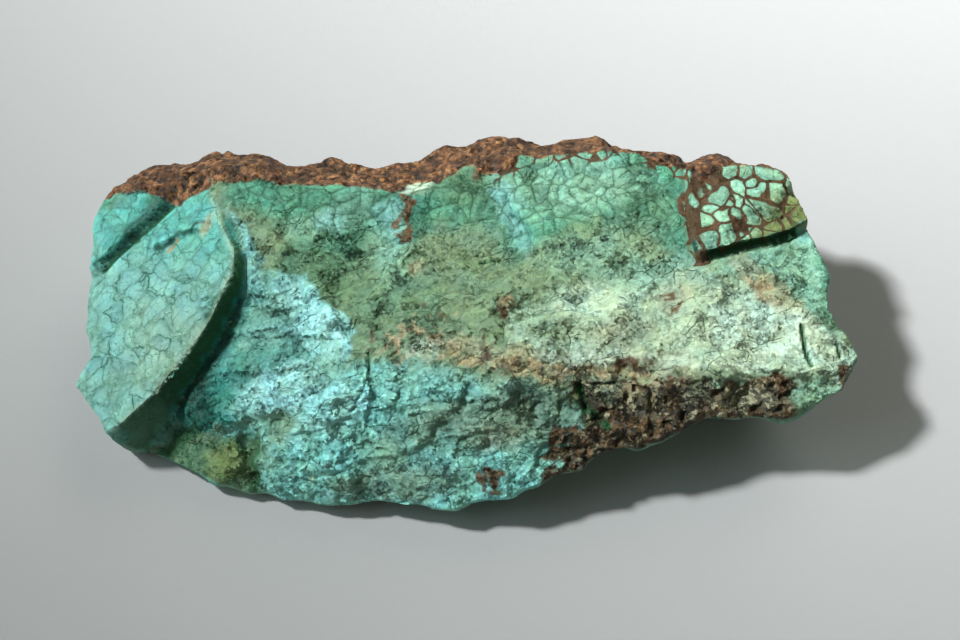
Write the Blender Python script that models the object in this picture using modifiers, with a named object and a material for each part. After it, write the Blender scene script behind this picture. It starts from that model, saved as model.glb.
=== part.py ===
"""Raw turquoise nugget: one broken chunk of turquoise with a rind of brown host rock on one side.

Metres, +Z up. The nugget lies on its back on the plane z = 0. +X runs along its length, the broken
face looks up and leans a little towards -Y, and the rind is its +Y side. The chunk starts as the
outline of its waist, filled and raised to a block, and is then carved: flat fracture facets give the
broken face, the waist and the facets below it give the flanks, and dents, steps, grooves and swells
are the scars where flakes came away.
"""

from dataclasses import dataclass

import bmesh
import bpy
import numpy as np

NUGGET = "turquoise_stone"
BLOCK_HEIGHT = 0.020  # the block that the nugget is carved from
SINK = 0.003  # how far the carving runs below z = 0, where the resting face is cut
COARSE_SKIN = 0.0016  # spacing of the skin's points while the block takes its first shape
FINE_SKIN = 0.0008  # spacing of the skin's points for the ledges and lumps
TRIANGLES = 11400
EDGE_ROUNDING = 0.0005  # how softly two facets meet

# The waist: the widest line round the nugget, as x, y and height, anticlockwise from the far left.
WAIST = [
    (-0.0439, 0.0130, 0.0090),
    (-0.0436, 0.0088, 0.0087),
    (-0.0439, 0.0040, 0.0078),
    (-0.0436, 0.0000, 0.0070),
    (-0.0432, -0.0033, 0.0065),
    (-0.0449, -0.0050, 0.0055),
    (-0.0446, -0.0067, 0.0053),
    (-0.0429, -0.0093, 0.0056),
    (-0.0415, -0.0114, 0.0056),
    (-0.0405, -0.0133, 0.0050),
    (-0.0390, -0.0134, 0.0030),
    (-0.0351, -0.0140, 0.0013),
    (-0.0313, -0.0161, 0.0013),
    (-0.0264, -0.0176, 0.0016),
    (-0.0240, -0.0187, 0.0013),
    (-0.0204, -0.0196, 0.0014),
    (-0.0174, -0.0196, 0.0019),
    (-0.0139, -0.0202, 0.0022),
    (-0.0103, -0.0202, 0.0026),
    (-0.0079, -0.0209, 0.0026),
    (-0.0056, -0.0208, 0.0029),
    (-0.0028, -0.0214, 0.0031),
    (0.0003, -0.0211, 0.0039),
    (0.0038, -0.0209, 0.0047),
    (0.0073, -0.0202, 0.0054),
    (0.0132, -0.0180, 0.0066),
    (0.0161, -0.0167, 0.0073),
    (0.0231, -0.0145, 0.0083),
    (0.0266, -0.0134, 0.0087),
    (0.0319, -0.0125, 0.0090),
    (0.0357, -0.0127, 0.0089),
    (0.0407, -0.0106, 0.0099),
    (0.0440, -0.0096, 0.0103),
    (0.0456, -0.0073, 0.0111),
    (0.0432, -0.0035, 0.0120),
    (0.0416, -0.0007, 0.0126),
    (0.0410, 0.0027, 0.0133),
    (0.0402, 0.0081, 0.0148),
    (0.0389, 0.0113, 0.0155),
    (0.0369, 0.0154, 0.0152),
    (0.0324, 0.0172, 0.0150),
    (0.0286, 0.0188, 0.0150),
    (0.0255, 0.0179, 0.0150),
    (0.0251, 0.0193, 0.0150),
    (0.0210, 0.0200, 0.0150),
    (0.0155, 0.0212, 0.0150),
    (0.0088, 0.0208, 0.0150),
    (0.0045, 0.0213, 0.0150),
    (0.0008, 0.0211, 0.0146),
    (-0.0022, 0.0208, 0.0145),
    (-0.0059, 0.0189, 0.0142),
    (-0.0095, 0.0180, 0.0138),
    (-0.0144, 0.0191, 0.0135),
    (-0.0193, 0.0188, 0.0130),
    (-0.0232, 0.0205, 0.0125),
    (-0.0301, 0.0210, 0.0115),
    (-0.0376, 0.0203, 0.0098),
    (-0.0428, 0.0177, 0.0092),
]

# How far the flank moves inwards for each metre below and above the waist, by compass direction.
FLANK_DIRECTIONS = [0, 45, 90, 135, 180, 225, 270, 315, 345]  # degrees from +X towards +Y
UNDERCUT = [0.70, 0.45, 0.25, 0.35, 0.60, 0.90, 1.00, 1.10, 0.60]
OVERCUT = [0.20, 1.20, 1.70, 1.50, 0.20, 0.10, 0.10, 0.10, 0.00]


@dataclass(frozen=True)
class Facet:
    """A flat fracture of the broken face: a point on it, and its rise per metre along X and Y."""

    x: float
    y: float
    z: float
    rise_x: float
    rise_y: float

    def height(self, x, y):
        return self.z + self.rise_x * (x - self.x) + self.rise_y * (y - self.y)


@dataclass(frozen=True)
class Chip:
    """A flat fracture of the hidden sides: a point on it and the way it faces."""

    point: tuple
    facing: tuple


@dataclass(frozen=True)
class Bowl:
    """A round hollow (depth above 0) or swell (below 0) of the broken face."""

    x: float
    y: float
    long_radius: float
    short_radius: float
    turn: float  # degrees that the long radius is turned from X
    depth: float


@dataclass(frozen=True)
class Trough:
    """A straight groove (depth above 0) or ridge (below 0) of the broken face."""

    start: tuple
    end: tuple
    half_width: float
    depth: float


@dataclass(frozen=True)
class Scarp:
    """The edge of a flake: raised on the left of its line, fading out away from the line."""

    line: tuple
    rise: float
    fade: float


MIDDLE = Facet(0.0032, 0.0027, 0.0160, 0.010, 0.207)  # the broad middle of the broken face
BRIGHT = Facet(-0.0175, 0.0000, 0.0152, 0.215, 0.410)  # rises from the slab to the diagonal crest
LOWER = Facet(-0.0093, -0.0159, 0.0075, 0.189, 1.025)  # leans down to the near edge
NEAR = Facet(0.0282, -0.0112, 0.0107, -0.090, 0.765)  # under the near ridge
RIGHT_END = Facet(0.0386, 0.0005, 0.0142, -0.088, 0.227)
RIGHT_FLANK = Facet(0.0333, 0.0027, 0.0152, -0.190, 0.080)  # falls away past the diagonal ridge
CORNER = Facet(-0.0290, -0.0150, 0.0042, 0.650, 0.900)  # the near left corner
SLAB = Facet(-0.0359, 0.0018, 0.0115, 0.493, 0.186)
SLAB_EDGE = [  # the curved lip of the slab, from the rind down to its near tip
    (-0.0300, 0.0159),
    (-0.0289, 0.0126),
    (-0.0274, 0.0101),
    (-0.0253, 0.0061),
    (-0.0263, 0.0016),
    (-0.0284, -0.0025),
    (-0.0312, -0.0062),
    (-0.0345, -0.0094),
    (-0.0380, -0.0120),
    (-0.0420, -0.0148),
]
SLAB_WALL = [0.0005, 0.0007, 0.0010, 0.0018, 0.0017, 0.0015, 0.0013, 0.0013, 0.0013, 0.0014]  # in plan
SLAB_BACK = [(-0.060, -0.016), (-0.060, 0.030), (-0.030, 0.030)]  # closes the slab's area

CAP_EDGE = [  # the ledge of the cap at the far right
    (0.0254, 0.0154),
    (0.0255, 0.0106),
    (0.0264, 0.0041),
    (0.0310, 0.0058),
    (0.0344, 0.0068),
    (0.0367, 0.0079),
    (0.0400, 0.0099),
]
CAP_BACK = [(0.050, 0.012), (0.050, 0.030), (0.0254, 0.030)]
CAP_WALL = [0.0005, 0.0006, 0.0007, 0.0008, 0.0009, 0.0009, 0.0009]  # width of the wall, in plan
CAP_RISE = 0.0013

BOWLS = [
    Bowl(-0.0125, 0.0040, 0.0085, 0.0055, 60, 0.0011),  # right of the diagonal crest
    Bowl(0.0005, 0.0066, 0.0095, 0.0075, 0, 0.0014),  # the scar in the middle
    Bowl(-0.0020, -0.0075, 0.0090, 0.0035, 10, 0.0006),
    Bowl(0.0198, 0.0089, 0.0110, 0.0060, 0, -0.0008),  # the swell at the far side
    Bowl(0.0140, -0.0060, 0.0120, 0.0045, 8, -0.0006),  # the tablet on the near ridge
    Bowl(0.0167, -0.0130, 0.0040, 0.0025, 0, 0.0012),  # the hollows under the near ridge
    Bowl(0.0284, -0.0112, 0.0035, 0.0020, 0, 0.0010),
    Bowl(0.0440, -0.0065, 0.0060, 0.0040, 20, -0.0010),  # the knob at the right tip
]
TROUGHS = [
    Trough((-0.0400, 0.0086), (-0.0339, 0.0132), 0.0013, 0.0016),
    Trough((-0.0348, 0.0091), (-0.0297, 0.0103), 0.0008, 0.0006),
    Trough((0.0044, -0.0107), (0.0160, -0.0108), 0.0012, -0.0006),
    Trough((0.0160, -0.0108), (0.0282, -0.0094), 0.0012, -0.0006),
    Trough((0.0282, -0.0094), (0.0400, -0.0085), 0.0012, -0.0006),
    Trough((-0.0245, -0.0141), (-0.0230, -0.0188), 0.0010, 0.0009),
]
SCARPS = [
    Scarp(((0.0093, 0.0035), (0.0070, 0.0085), (0.0042, 0.0125)), -0.0008, 0.0060),
    Scarp(((0.0196, -0.0011), (0.0106, -0.0031), (0.0048, -0.0045), (0.0048, -0.0102)), 0.0005, 0.0080),
    Scarp(((-0.0115, -0.0145), (-0.0104, -0.0120), (-0.0112, -0.0060)), 0.0006, 0.0040),
    Scarp(((-0.0265, -0.0152), (-0.0151, -0.0135), (0.0006, -0.0120)), 0.0006, 0.0050),
    Scarp(((-0.0200, -0.0178), (-0.0073, -0.0164), (0.0105, -0.0139)), 0.0006, 0.0050),
]
CHIPS = [
    Chip((-0.036, 0.017, 0.005), (-0.55, 0.60, -0.55)),
    Chip((0.035, 0.014, 0.008), (0.60, 0.50, -0.60)),
    Chip((-0.041, -0.002, 0.000), (-0.75, -0.10, -0.65)),
    Chip((0.038, -0.004, 0.005), (0.62, -0.15, -0.77)),
    Chip((0.004, 0.018, 0.004), (0.10, 0.80, -0.60)),
    Chip((-0.010, -0.0155, 0.000), (0.00, -0.35, -0.94)),
    Chip((0.012, 0.014, 0.000), (0.05, 0.50, -0.86)),
]

MOSAIC_SIZES = [0.0100, 0.0048]  # widths of the small fractures
MOSAIC_TILTS = [0.10, 0.13]  # how much they lean, as a slope
FLANK_TILT = 1.8  # how much more they lean on the flanks
LUMP_SIZES = [0.0065, 0.0034]  # widths of the rind's lumps
LUMP_HEIGHTS = [0.0011, 0.0005]


def smooth_step(low, high, value):
    """0 below low, 1 above high, and an even curve between."""
    t = np.clip((value - low) / (high - low), 0.0, 1.0)
    return t * t * (3.0 - 2.0 * t)


def soft_min(a, b, rounding):
    """The lower of two heights, with the crest between them rounded off."""
    blend = np.clip(0.5 + 0.5 * (b - a) / rounding, 0.0, 1.0)
    return b + (a - b) * blend - rounding * blend * (1.0 - blend)


def distance_to_line(x, y, corners, closed):
    """Distance in plan to a line of corners, and where on it the nearest point is (corner + share)."""
    corners = np.array(corners)[:, :2]
    ends = np.roll(corners, -1, axis=0)
    if not closed:
        corners, ends = corners[:-1], ends[:-1]
    run = ends - corners
    points = np.stack([x, y], axis=1)[:, None]
    share = ((points - corners) * run).sum(axis=2) / (run * run).sum(axis=1)
    share = np.clip(share, 0.0, 1.0)
    gap = np.linalg.norm(points - corners - share[..., None] * run, axis=2)
    nearest = gap.argmin(axis=1)
    row = np.arange(len(nearest))
    return gap[row, nearest], nearest + share[row, nearest]


def inside(x, y, corners):
    """Whether each point lies inside a closed line of corners."""
    found = np.zeros(len(x), bool)
    corners = np.array(corners)[:, :2]
    for (ax, ay), (bx, by) in zip(corners, np.roll(corners, -1, axis=0)):
        crosses = (ay > y) != (by > y)
        level = np.where(by == ay, 1.0, by - ay)
        found ^= crosses & (x < ax + (y - ay) * (bx - ax) / level)
    return found


def ledge(x, y, edge, back, wall):
    """1 on the raised side of an edge, falling to 0 across the wall outside it."""
    gap, place = distance_to_line(x, y, edge, closed=False)
    width = np.interp(place, np.arange(len(wall)), wall)
    return np.where(inside(x, y, edge + back), 1.0, 1.0 - np.clip(gap / width, 0.0, 1.0))


def bowl_depth(bowl, x, y):
    turn = np.radians(bowl.turn)
    along = (x - bowl.x) * np.cos(turn) + (y - bowl.y) * np.sin(turn)
    across = (y - bowl.y) * np.cos(turn) - (x - bowl.x) * np.sin(turn)
    reach = (along / bowl.long_radius) ** 2 + (across / bowl.short_radius) ** 2
    return bowl.depth * np.clip(1.0 - reach, 0.0, 1.0) ** 1.5


def trough_depth(trough, x, y):
    gap, _ = distance_to_line(x, y, [trough.start, trough.end], closed=False)
    return trough.depth * np.exp(-((gap / trough.half_width) ** 2))


def scarp_rise(scarp, x, y):
    gap, place = distance_to_line(x, y, scarp.line, closed=False)
    corners = np.array(scarp.line)
    run = np.diff(corners, axis=0)[np.minimum(place.astype(int), len(corners) - 2)]
    nearest = corners[np.minimum(place.astype(int), len(corners) - 2)]
    left = run[:, 0] * (y - nearest[:, 1]) - run[:, 1] * (x - nearest[:, 0]) > 0
    ends = np.minimum(place, len(corners) - 1 - place)
    return scarp.rise * left * np.exp(-gap / scarp.fade) * smooth_step(0.0, 0.5, ends)


def face_height(x, y):
    """Height of the broken face over each point of the plan."""
    height = MIDDLE.height(x, y) - sum(bowl_depth(bowl, x, y) for bowl in BOWLS)
    height = soft_min(height, LOWER.height(x, y), 4 * EDGE_ROUNDING)
    for facet in (BRIGHT, NEAR, RIGHT_END, RIGHT_FLANK, CORNER):
        height = soft_min(height, facet.height(x, y), EDGE_ROUNDING)
    height = height + sum(scarp_rise(scarp, x, y) for scarp in SCARPS)
    on_slab = ledge(x, y, SLAB_EDGE, SLAB_BACK, SLAB_WALL)
    height = height + (SLAB.height(x, y) - height) * on_slab
    height = height + CAP_RISE * ledge(x, y, CAP_EDGE, CAP_BACK, CAP_WALL)
    return height - sum(trough_depth(trough, x, y) for trough in TROUGHS)


def flank_distance(x, y, z):
    """Distance outside the flanks, which lean in from the waist both ways."""
    gap, place = distance_to_line(x, y, WAIST, closed=True)
    gap = np.where(inside(x, y, WAIST), -gap, gap)
    waist = np.interp(place, np.arange(len(WAIST) + 1), [p[2] for p in WAIST + WAIST[:1]])
    direction = np.degrees(np.arctan2(y, x))
    under = np.interp(direction, FLANK_DIRECTIONS, UNDERCUT, period=360)
    over = np.interp(direction, FLANK_DIRECTIONS, OVERCUT, period=360)
    lean = np.where(z < waist, under, over)
    return (gap + lean * np.abs(z - waist)) / np.sqrt(1.0 + lean * lean)


def outside(points):
    """How far each point is outside the nugget, roughly. Below 0 is inside."""
    x, y, z = points.T
    distance = -soft_min(face_height(x, y) - z, -flank_distance(x, y, z), EDGE_ROUNDING)
    for chip in CHIPS:
        facing = np.array(chip.facing) / np.linalg.norm(chip.facing)
        distance = np.maximum(distance, (points - np.array(chip.point)) @ facing)
    return np.maximum(distance, -SINK - z)


def carve(points, rounds=16, reach=0.0010, nudge=0.00005):
    """Moves the points onto the nugget's surface, a little in each round."""
    for _ in range(rounds):
        here = outside(points)
        slope = np.stack(
            [(outside(points + nudge * axis) - here) / nudge for axis in np.eye(3)], axis=1
        )
        steep = np.maximum((slope * slope).sum(axis=1), 0.25)
        step = np.clip(here / steep, -reach, reach)
        move = slope * step[:, None]
        length = np.maximum(np.linalg.norm(move, axis=1), 1e-9)
        points = points - move * np.minimum(1.0, reach / length)[:, None]
    return points


def line_up(mesh, edge, wall, reach=0.00045, area=0.0025, rounds=4):
    """Slides points of the face sideways onto an edge and the foot of its wall, then evens the rest."""
    points = points_of(mesh)
    x, y, z = points.T
    gap, place = distance_to_line(x, y, edge, closed=False)
    corners = np.array(edge)
    corner = np.minimum(place.astype(int), len(edge) - 2)
    nearest = corners[corner] + (corners[corner + 1] - corners[corner]) * (place - corner)[:, None]
    foot = np.interp(place, np.arange(len(wall)), wall)
    aim = np.where((gap < foot / 2) | inside(x, y, edge + [edge[-1], edge[0]]), 0.0, foot)
    on_face = z > face_height(x, y) - reach
    held = (np.abs(gap - aim) < reach) & on_face & (place > 0.01) & (place < len(edge) - 1.01)
    away = (points[:, :2] - nearest) / np.maximum(gap, 1e-9)[:, None]
    points[held, :2] = (nearest + away * aim[:, None])[held]
    loose = (gap < area) & on_face & ~held
    links = np.array([link.vertices[:] for link in mesh.edges])
    for _ in range(rounds):
        total = np.zeros((len(points), 3))
        np.add.at(total, links[:, 0], np.column_stack([points[links[:, 1], :2], np.ones(len(links))]))
        np.add.at(total, links[:, 1], np.column_stack([points[links[:, 0], :2], np.ones(len(links))]))
        points[loose, :2] = total[loose, :2] / total[loose, 2:]
    moved = held | loose
    points[moved, 2] = face_height(points[moved, 0], points[moved, 1])
    put_points(mesh, points)


def points_of(mesh):
    found = np.empty(len(mesh.vertices) * 3)
    mesh.vertices.foreach_get("co", found)
    return found.reshape(-1, 3)


def put_points(mesh, points):
    mesh.vertices.foreach_set("co", points.ravel())
    mesh.update()


def apply_modifier(obj, kind, **settings):
    """Adds a modifier and makes its result the object's mesh."""
    modifier = obj.modifiers.new(kind.title(), kind)
    for name, value in settings.items():
        setattr(modifier, name, value)
    graph = bpy.context.evaluated_depsgraph_get()
    made = bpy.data.meshes.new_from_object(obj.evaluated_get(graph))
    obj.modifiers.clear()
    obj.data = made


def clear_scene():
    for obj in list(bpy.data.objects):
        bpy.data.objects.remove(obj)


def waist_block():
    """The outline of the waist, filled and raised to a block."""
    curve = bpy.data.curves.new(NUGGET, "CURVE")
    curve.dimensions = "2D"
    curve.fill_mode = "BOTH"
    curve.extrude = (BLOCK_HEIGHT + SINK) / 2
    spline = curve.splines.new("POLY")
    spline.points.add(len(WAIST) - 1)
    for point, (x, y, _) in zip(spline.points, WAIST):
        point.co = (x, y, 0.0, 1.0)
    spline.use_cyclic_u = True
    outline = bpy.data.objects.new("outline", curve)
    bpy.context.collection.objects.link(outline)
    graph = bpy.context.evaluated_depsgraph_get()
    mesh = bpy.data.meshes.new_from_object(outline.evaluated_get(graph))
    bpy.data.objects.remove(outline)
    work = bmesh.new()
    work.from_mesh(mesh)
    bmesh.ops.remove_doubles(work, verts=work.verts, dist=0.00001)
    bmesh.ops.translate(work, verts=work.verts, vec=(0.0, 0.0, (BLOCK_HEIGHT - SINK) / 2))
    bmesh.ops.recalc_face_normals(work, faces=work.faces)
    work.to_mesh(mesh)
    work.free()
    return mesh


def lower_to_face(mesh):
    """Squeezes the block's height to that of the broken face, point by point."""
    points = points_of(mesh)
    share = (points[:, 2] + SINK) / (BLOCK_HEIGHT + SINK)
    points[:, 2] = share * (face_height(points[:, 0], points[:, 1]) + SINK) - SINK
    put_points(mesh, points)


def chance(cells, seed):
    """A number from 0 to 1 for each cell of a grid, the same one every time."""
    return np.modf(np.abs(np.sin(cells @ np.array([12.9898, 78.233, 37.719]) + seed)) * 43758.5453)[0]


def mosaic(points, size):
    """Splits space into uneven cells that each lean their own way.

    Gives the height of the leaning cell at each point, per unit of slope, and the distance to the
    cell's centre as a share of the cell size.
    """
    place = points / size
    corner = np.floor(place)
    steps = np.array([(i, j, k) for i in (-1, 0, 1) for j in (-1, 0, 1) for k in (-1, 0, 1)])
    height = np.zeros(len(points))
    weight = np.full(len(points), 1e-12)
    nearest = np.full(len(points), 9.0)
    for step in steps:
        cell = corner + step
        offset = place - cell - np.stack([chance(cell, seed) for seed in (1, 2, 3)], axis=1)
        lean = np.stack([chance(cell, seed) for seed in (4, 5, 6)], axis=1) * 2.0 - 1.0
        distance = np.linalg.norm(offset, axis=1)
        share = np.exp(-9.0 * distance * distance)
        height += share * (offset * lean).sum(axis=1)
        weight += share
        nearest = np.minimum(nearest, distance)
    return size * height / weight, nearest


def rind_share(points):
    """1 on the rind, 0 on the broken turquoise."""
    x, y, z = points.T
    outwards = flank_distance(x, y, z) - (z - face_height(x, y))
    direction = np.degrees(np.arctan2(y, x))
    window = smooth_step(12, 30, direction) * (1.0 - smooth_step(150, 165, direction))
    return smooth_step(-0.0004, 0.0008, outwards) * window


def roughen(mesh):
    """Breaks the facets up into small fractures, and raises the rind's lumps."""
    points = points_of(mesh)
    normals = np.array([vertex.normal for vertex in mesh.vertices])
    hidden = smooth_step(0.3, -0.1, normals[:, 2])
    chips = sum(tilt * mosaic(points, size)[0] for size, tilt in zip(MOSAIC_SIZES, MOSAIC_TILTS))
    lumps = sum(
        height * (0.55 - 1.6 * mosaic(points, size)[1] ** 2)
        for size, height in zip(LUMP_SIZES, LUMP_HEIGHTS)
    )
    chips *= 1.0 + (FLANK_TILT - 1.0) * hidden
    raised = chips + lumps * rind_share(points)
    put_points(mesh, points + normals * raised[:, None])


def cut_resting_face(mesh):
    """Cuts the underside flat at z = 0."""
    work = bmesh.new()
    work.from_mesh(mesh)
    cut = bmesh.ops.bisect_plane(
        work,
        geom=work.verts[:] + work.edges[:] + work.faces[:],
        plane_co=(0.0, 0.0, 0.0),
        plane_no=(0.0, 0.0, 1.0),
        clear_inner=True,
    )
    rim = [item for item in cut["geom_cut"] if isinstance(item, bmesh.types.BMEdge)]
    bmesh.ops.contextual_create(work, geom=rim)
    bmesh.ops.recalc_face_normals(work, faces=work.faces)
    work.to_mesh(mesh)
    work.free()


def stone_material():
    material = bpy.data.materials.new("turquoise")
    material.use_nodes = True
    shader = material.node_tree.nodes["Principled BSDF"]
    shader.inputs["Base Color"].default_value = (0.27, 0.56, 0.47, 1.0)
    shader.inputs["Roughness"].default_value = 0.7
    shader.inputs["Metallic"].default_value = 0.0
    return material


def build_nugget():
    obj = bpy.data.objects.new(NUGGET, waist_block())
    bpy.context.collection.objects.link(obj)
    apply_modifier(obj, "REMESH", mode="VOXEL", voxel_size=COARSE_SKIN)
    lower_to_face(obj.data)
    for skin in (COARSE_SKIN, FINE_SKIN):
        apply_modifier(obj, "REMESH", mode="VOXEL", voxel_size=skin)
        put_points(obj.data, carve(points_of(obj.data)))
    for edge, wall in ((SLAB_EDGE, SLAB_WALL), (CAP_EDGE, CAP_WALL)):
        line_up(obj.data, edge, wall)
    roughen(obj.data)
    faces = sum(len(face.vertices) - 2 for face in obj.data.polygons)
    apply_modifier(obj, "DECIMATE", ratio=min(1.0, TRIANGLES / faces))
    cut_resting_face(obj.data)
    obj.data.materials.append(stone_material())
    return obj


clear_scene()
build_nugget()
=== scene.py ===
"""Looks for the raw turquoise nugget: the fractured stone with its rind, on a pale sheet under a soft key light.

Metres, +Z up. The stone lies on its back, its broken face up, its length along X and its rind towards +Y.
The broken face is made of flat facets and of the scars, ledges and grooves between them. The same forms as in the
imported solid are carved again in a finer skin, and the small chips, crumbs, nodules and cracks are raised on it.
"""

import logging
from dataclasses import dataclass, field
from enum import Enum
from math import radians

import bpy
import numpy as np
from mathutils import Matrix, Vector

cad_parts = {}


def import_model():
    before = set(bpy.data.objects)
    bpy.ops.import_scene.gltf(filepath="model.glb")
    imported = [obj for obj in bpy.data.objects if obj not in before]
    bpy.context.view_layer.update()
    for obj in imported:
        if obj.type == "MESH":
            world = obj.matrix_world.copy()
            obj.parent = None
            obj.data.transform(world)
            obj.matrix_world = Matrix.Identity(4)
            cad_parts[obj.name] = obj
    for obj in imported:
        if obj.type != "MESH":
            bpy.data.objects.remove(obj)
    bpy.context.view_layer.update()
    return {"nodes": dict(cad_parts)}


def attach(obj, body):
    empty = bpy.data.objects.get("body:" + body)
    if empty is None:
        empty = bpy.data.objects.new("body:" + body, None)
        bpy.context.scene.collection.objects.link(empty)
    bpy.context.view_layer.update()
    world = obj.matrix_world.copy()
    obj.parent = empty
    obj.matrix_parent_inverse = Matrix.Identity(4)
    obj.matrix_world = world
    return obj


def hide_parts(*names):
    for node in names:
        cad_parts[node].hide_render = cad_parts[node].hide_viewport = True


LOG = logging.getLogger("nugget")
NODE = "turquoise_stone"
MM = 0.001
CELL_WEIGHTS = np.array([12.9898, 78.233, 37.719])
CELL_SCALE = 43758.5453
CLOUD_SHIFT = 17.31
CLOUD_SEED = 11
Points = np.ndarray
Line = tuple[tuple[float, float], ...]
Triple = tuple[float, float, float]


# --- measuring -----------------------------------------------------------------------------------


def smooth_step(low: float, high: float, value: Points) -> Points:
    """0 at low, 1 at high, with an even curve between. low may be the larger."""
    t = np.clip((value - low) / (high - low), 0.0, 1.0)
    return t * t * (3.0 - 2.0 * t)


def soft_min(a: Points, b: Points, rounding: float) -> Points:
    """The lower of two heights, with the crest between them rounded off."""
    blend = np.clip(0.5 + 0.5 * (b - a) / rounding, 0.0, 1.0)
    return b + (a - b) * blend - rounding * blend * (1.0 - blend)


def in_metres(line: Line) -> Line:
    """A line of corners given in millimetres, in metres."""
    return tuple((a * MM, b * MM) for a, b in line)


def turned(x: Points, y: Points, degrees: float) -> tuple[Points, Points]:
    """The distances along and across a direction in plan."""
    turn = radians(degrees)
    return x * np.cos(turn) + y * np.sin(turn), y * np.cos(turn) - x * np.sin(turn)


def distance_to_line(x: Points, y: Points, line: Line, closed: bool = False) -> tuple[Points, Points]:
    """Measures the distance in plan to a line of corners.

    Args:
        x: The points' X.
        y: The points' Y.
        line: The corners, as x and y.
        closed: Whether the last corner joins the first.

    Returns:
        The distance, and the place of the nearest point of the line as corner number plus share.
    """
    corners = np.array(line)[:, :2]
    ends = np.roll(corners, -1, axis=0)
    if not closed:
        corners, ends = corners[:-1], ends[:-1]
    best = np.full(len(x), np.inf)
    place = np.zeros(len(x))
    for number, ((ax, ay), (bx, by)) in enumerate(zip(corners, ends)):
        run_x, run_y = bx - ax, by - ay
        share = np.clip(((x - ax) * run_x + (y - ay) * run_y) / (run_x**2 + run_y**2), 0.0, 1.0)
        gap = np.hypot(x - ax - share * run_x, y - ay - share * run_y)
        closer = gap < best
        best[closer] = gap[closer]
        place[closer] = number + share[closer]
    return best, place


def inside(x: Points, y: Points, line: Line) -> Points:
    """Finds the points inside a closed line.

    Args:
        x: The points' X.
        y: The points' Y.
        line: The corners, as x and y.

    Returns:
        Whether each point lies inside.
    """
    found = np.zeros(len(x), bool)
    corners = np.array(line)[:, :2]
    for (ax, ay), (bx, by) in zip(corners, np.roll(corners, -1, axis=0)):
        level = by - ay if by != ay else 1.0
        found ^= ((ay > y) != (by > y)) & (x < ax + (y - ay) * (bx - ax) / level)
    return found


def chance(cells: Points, seed: int) -> Points:
    """A number from 0 to 1 for each cell of a grid, the same one every time."""
    return np.modf(np.abs(np.sin(cells @ CELL_WEIGHTS + seed)) * CELL_SCALE)[0]


def chances(cells: Points, seeds: tuple[int, ...]) -> Points:
    """A row of numbers from 0 to 1 for each cell of a grid, one for each seed."""
    return np.stack([chance(cells, seed) for seed in seeds], axis=1)


def mosaic(points: Points, size: float, sharp: float = 9.0) -> tuple[Points, Points]:
    """Splits space into uneven cells that each lean their own way, like small fractures.

    Args:
        points: Where to read it.
        size: The cells' width in metres.
        sharp: How hard the borders between cells are.

    Returns:
        The height of the leaning cell at each point for a slope of 1, and the distance to the cell's
        centre as a share of its size.
    """
    place = points / size
    corner = np.floor(place)
    height = np.zeros(len(points))
    weight = np.full(len(points), 1e-12)
    nearest = np.full(len(points), 9.0)
    for step in np.ndindex(3, 3, 3):
        cell = corner + np.array(step) - 1.0
        offset = place - cell - chances(cell, (1, 2, 3))
        distance = np.linalg.norm(offset, axis=1)
        tilt = chances(cell, (4, 5, 6)) * 2.0 - 1.0
        share = np.exp(-sharp * distance * distance)
        height += share * (offset * tilt).sum(axis=1)
        weight += share
        nearest = np.minimum(nearest, distance)
    return size * height / weight, nearest


def clouds(points: Points, size: float, seed: int = 0) -> Points:
    """Makes soft noise: random values at the corners of a grid, blended between them.

    Args:
        points: Where to read it.
        size: The grid's width in metres.
        seed: Which noise it is.

    Returns:
        The noise at each point, from 0 to 1.
    """
    place = points / size + seed * CLOUD_SHIFT
    corner = np.floor(place)
    part = place - corner
    part = part * part * (3.0 - 2.0 * part)
    total = np.zeros(len(points))
    for step in np.ndindex(2, 2, 2):
        share = np.prod(np.where(np.array(step) == 1, part, 1.0 - part), axis=1)
        total += share * chance(corner + np.array(step), CLOUD_SEED)
    return total


def swirl(points: Points, coarse: float, fine: float, seeds: tuple[int, ...]) -> Points:
    """Coarse and fine noise round 0, with a column for each seed, by which points wander."""
    return np.stack([clouds(points, coarse, s) + 0.5 * clouds(points, fine, s) for s in seeds], axis=1) - 0.75


# --- the forms of the stone ----------------------------------------------------------------------


@dataclass(frozen=True)
class Facet:
    """A flat fracture of the broken face: a point on it, and its rise per metre along X and Y."""

    x: float
    y: float
    z: float
    rise_x: float
    rise_y: float

    def height(self, x: Points, y: Points) -> Points:
        """Height of the facet's plane."""
        return self.z + self.rise_x * (x - self.x) + self.rise_y * (y - self.y)


@dataclass(frozen=True)
class Bowl:
    """A round hollow (depth above 0) or swell (below 0): centre, radii, turn in degrees, depth."""

    x: float
    y: float
    long_radius: float
    short_radius: float
    turn: float
    depth: float

    def reach(self, x: Points, y: Points) -> Points:
        """Distance from the centre: 1 on the bowl's rim."""
        along, across = turned(x - self.x, y - self.y, self.turn)
        return np.hypot(along / self.long_radius, across / self.short_radius)

    def depth_at(self, x: Points, y: Points) -> Points:
        """Depth of the hollow under each point of the plan."""
        return self.depth * np.clip(1.0 - self.reach(x, y) ** 2, 0.0, 1.0) ** 1.5


@dataclass(frozen=True)
class Trough:
    """A groove (depth above 0) or ridge (below 0) along a line."""

    line: Line
    half_width: float
    depth: float

    def depth_at(self, x: Points, y: Points) -> Points:
        """Depth of the groove under each point of the plan."""
        gap, _ = distance_to_line(x, y, self.line)
        return self.depth * np.exp(-((gap / self.half_width) ** 2))


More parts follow.
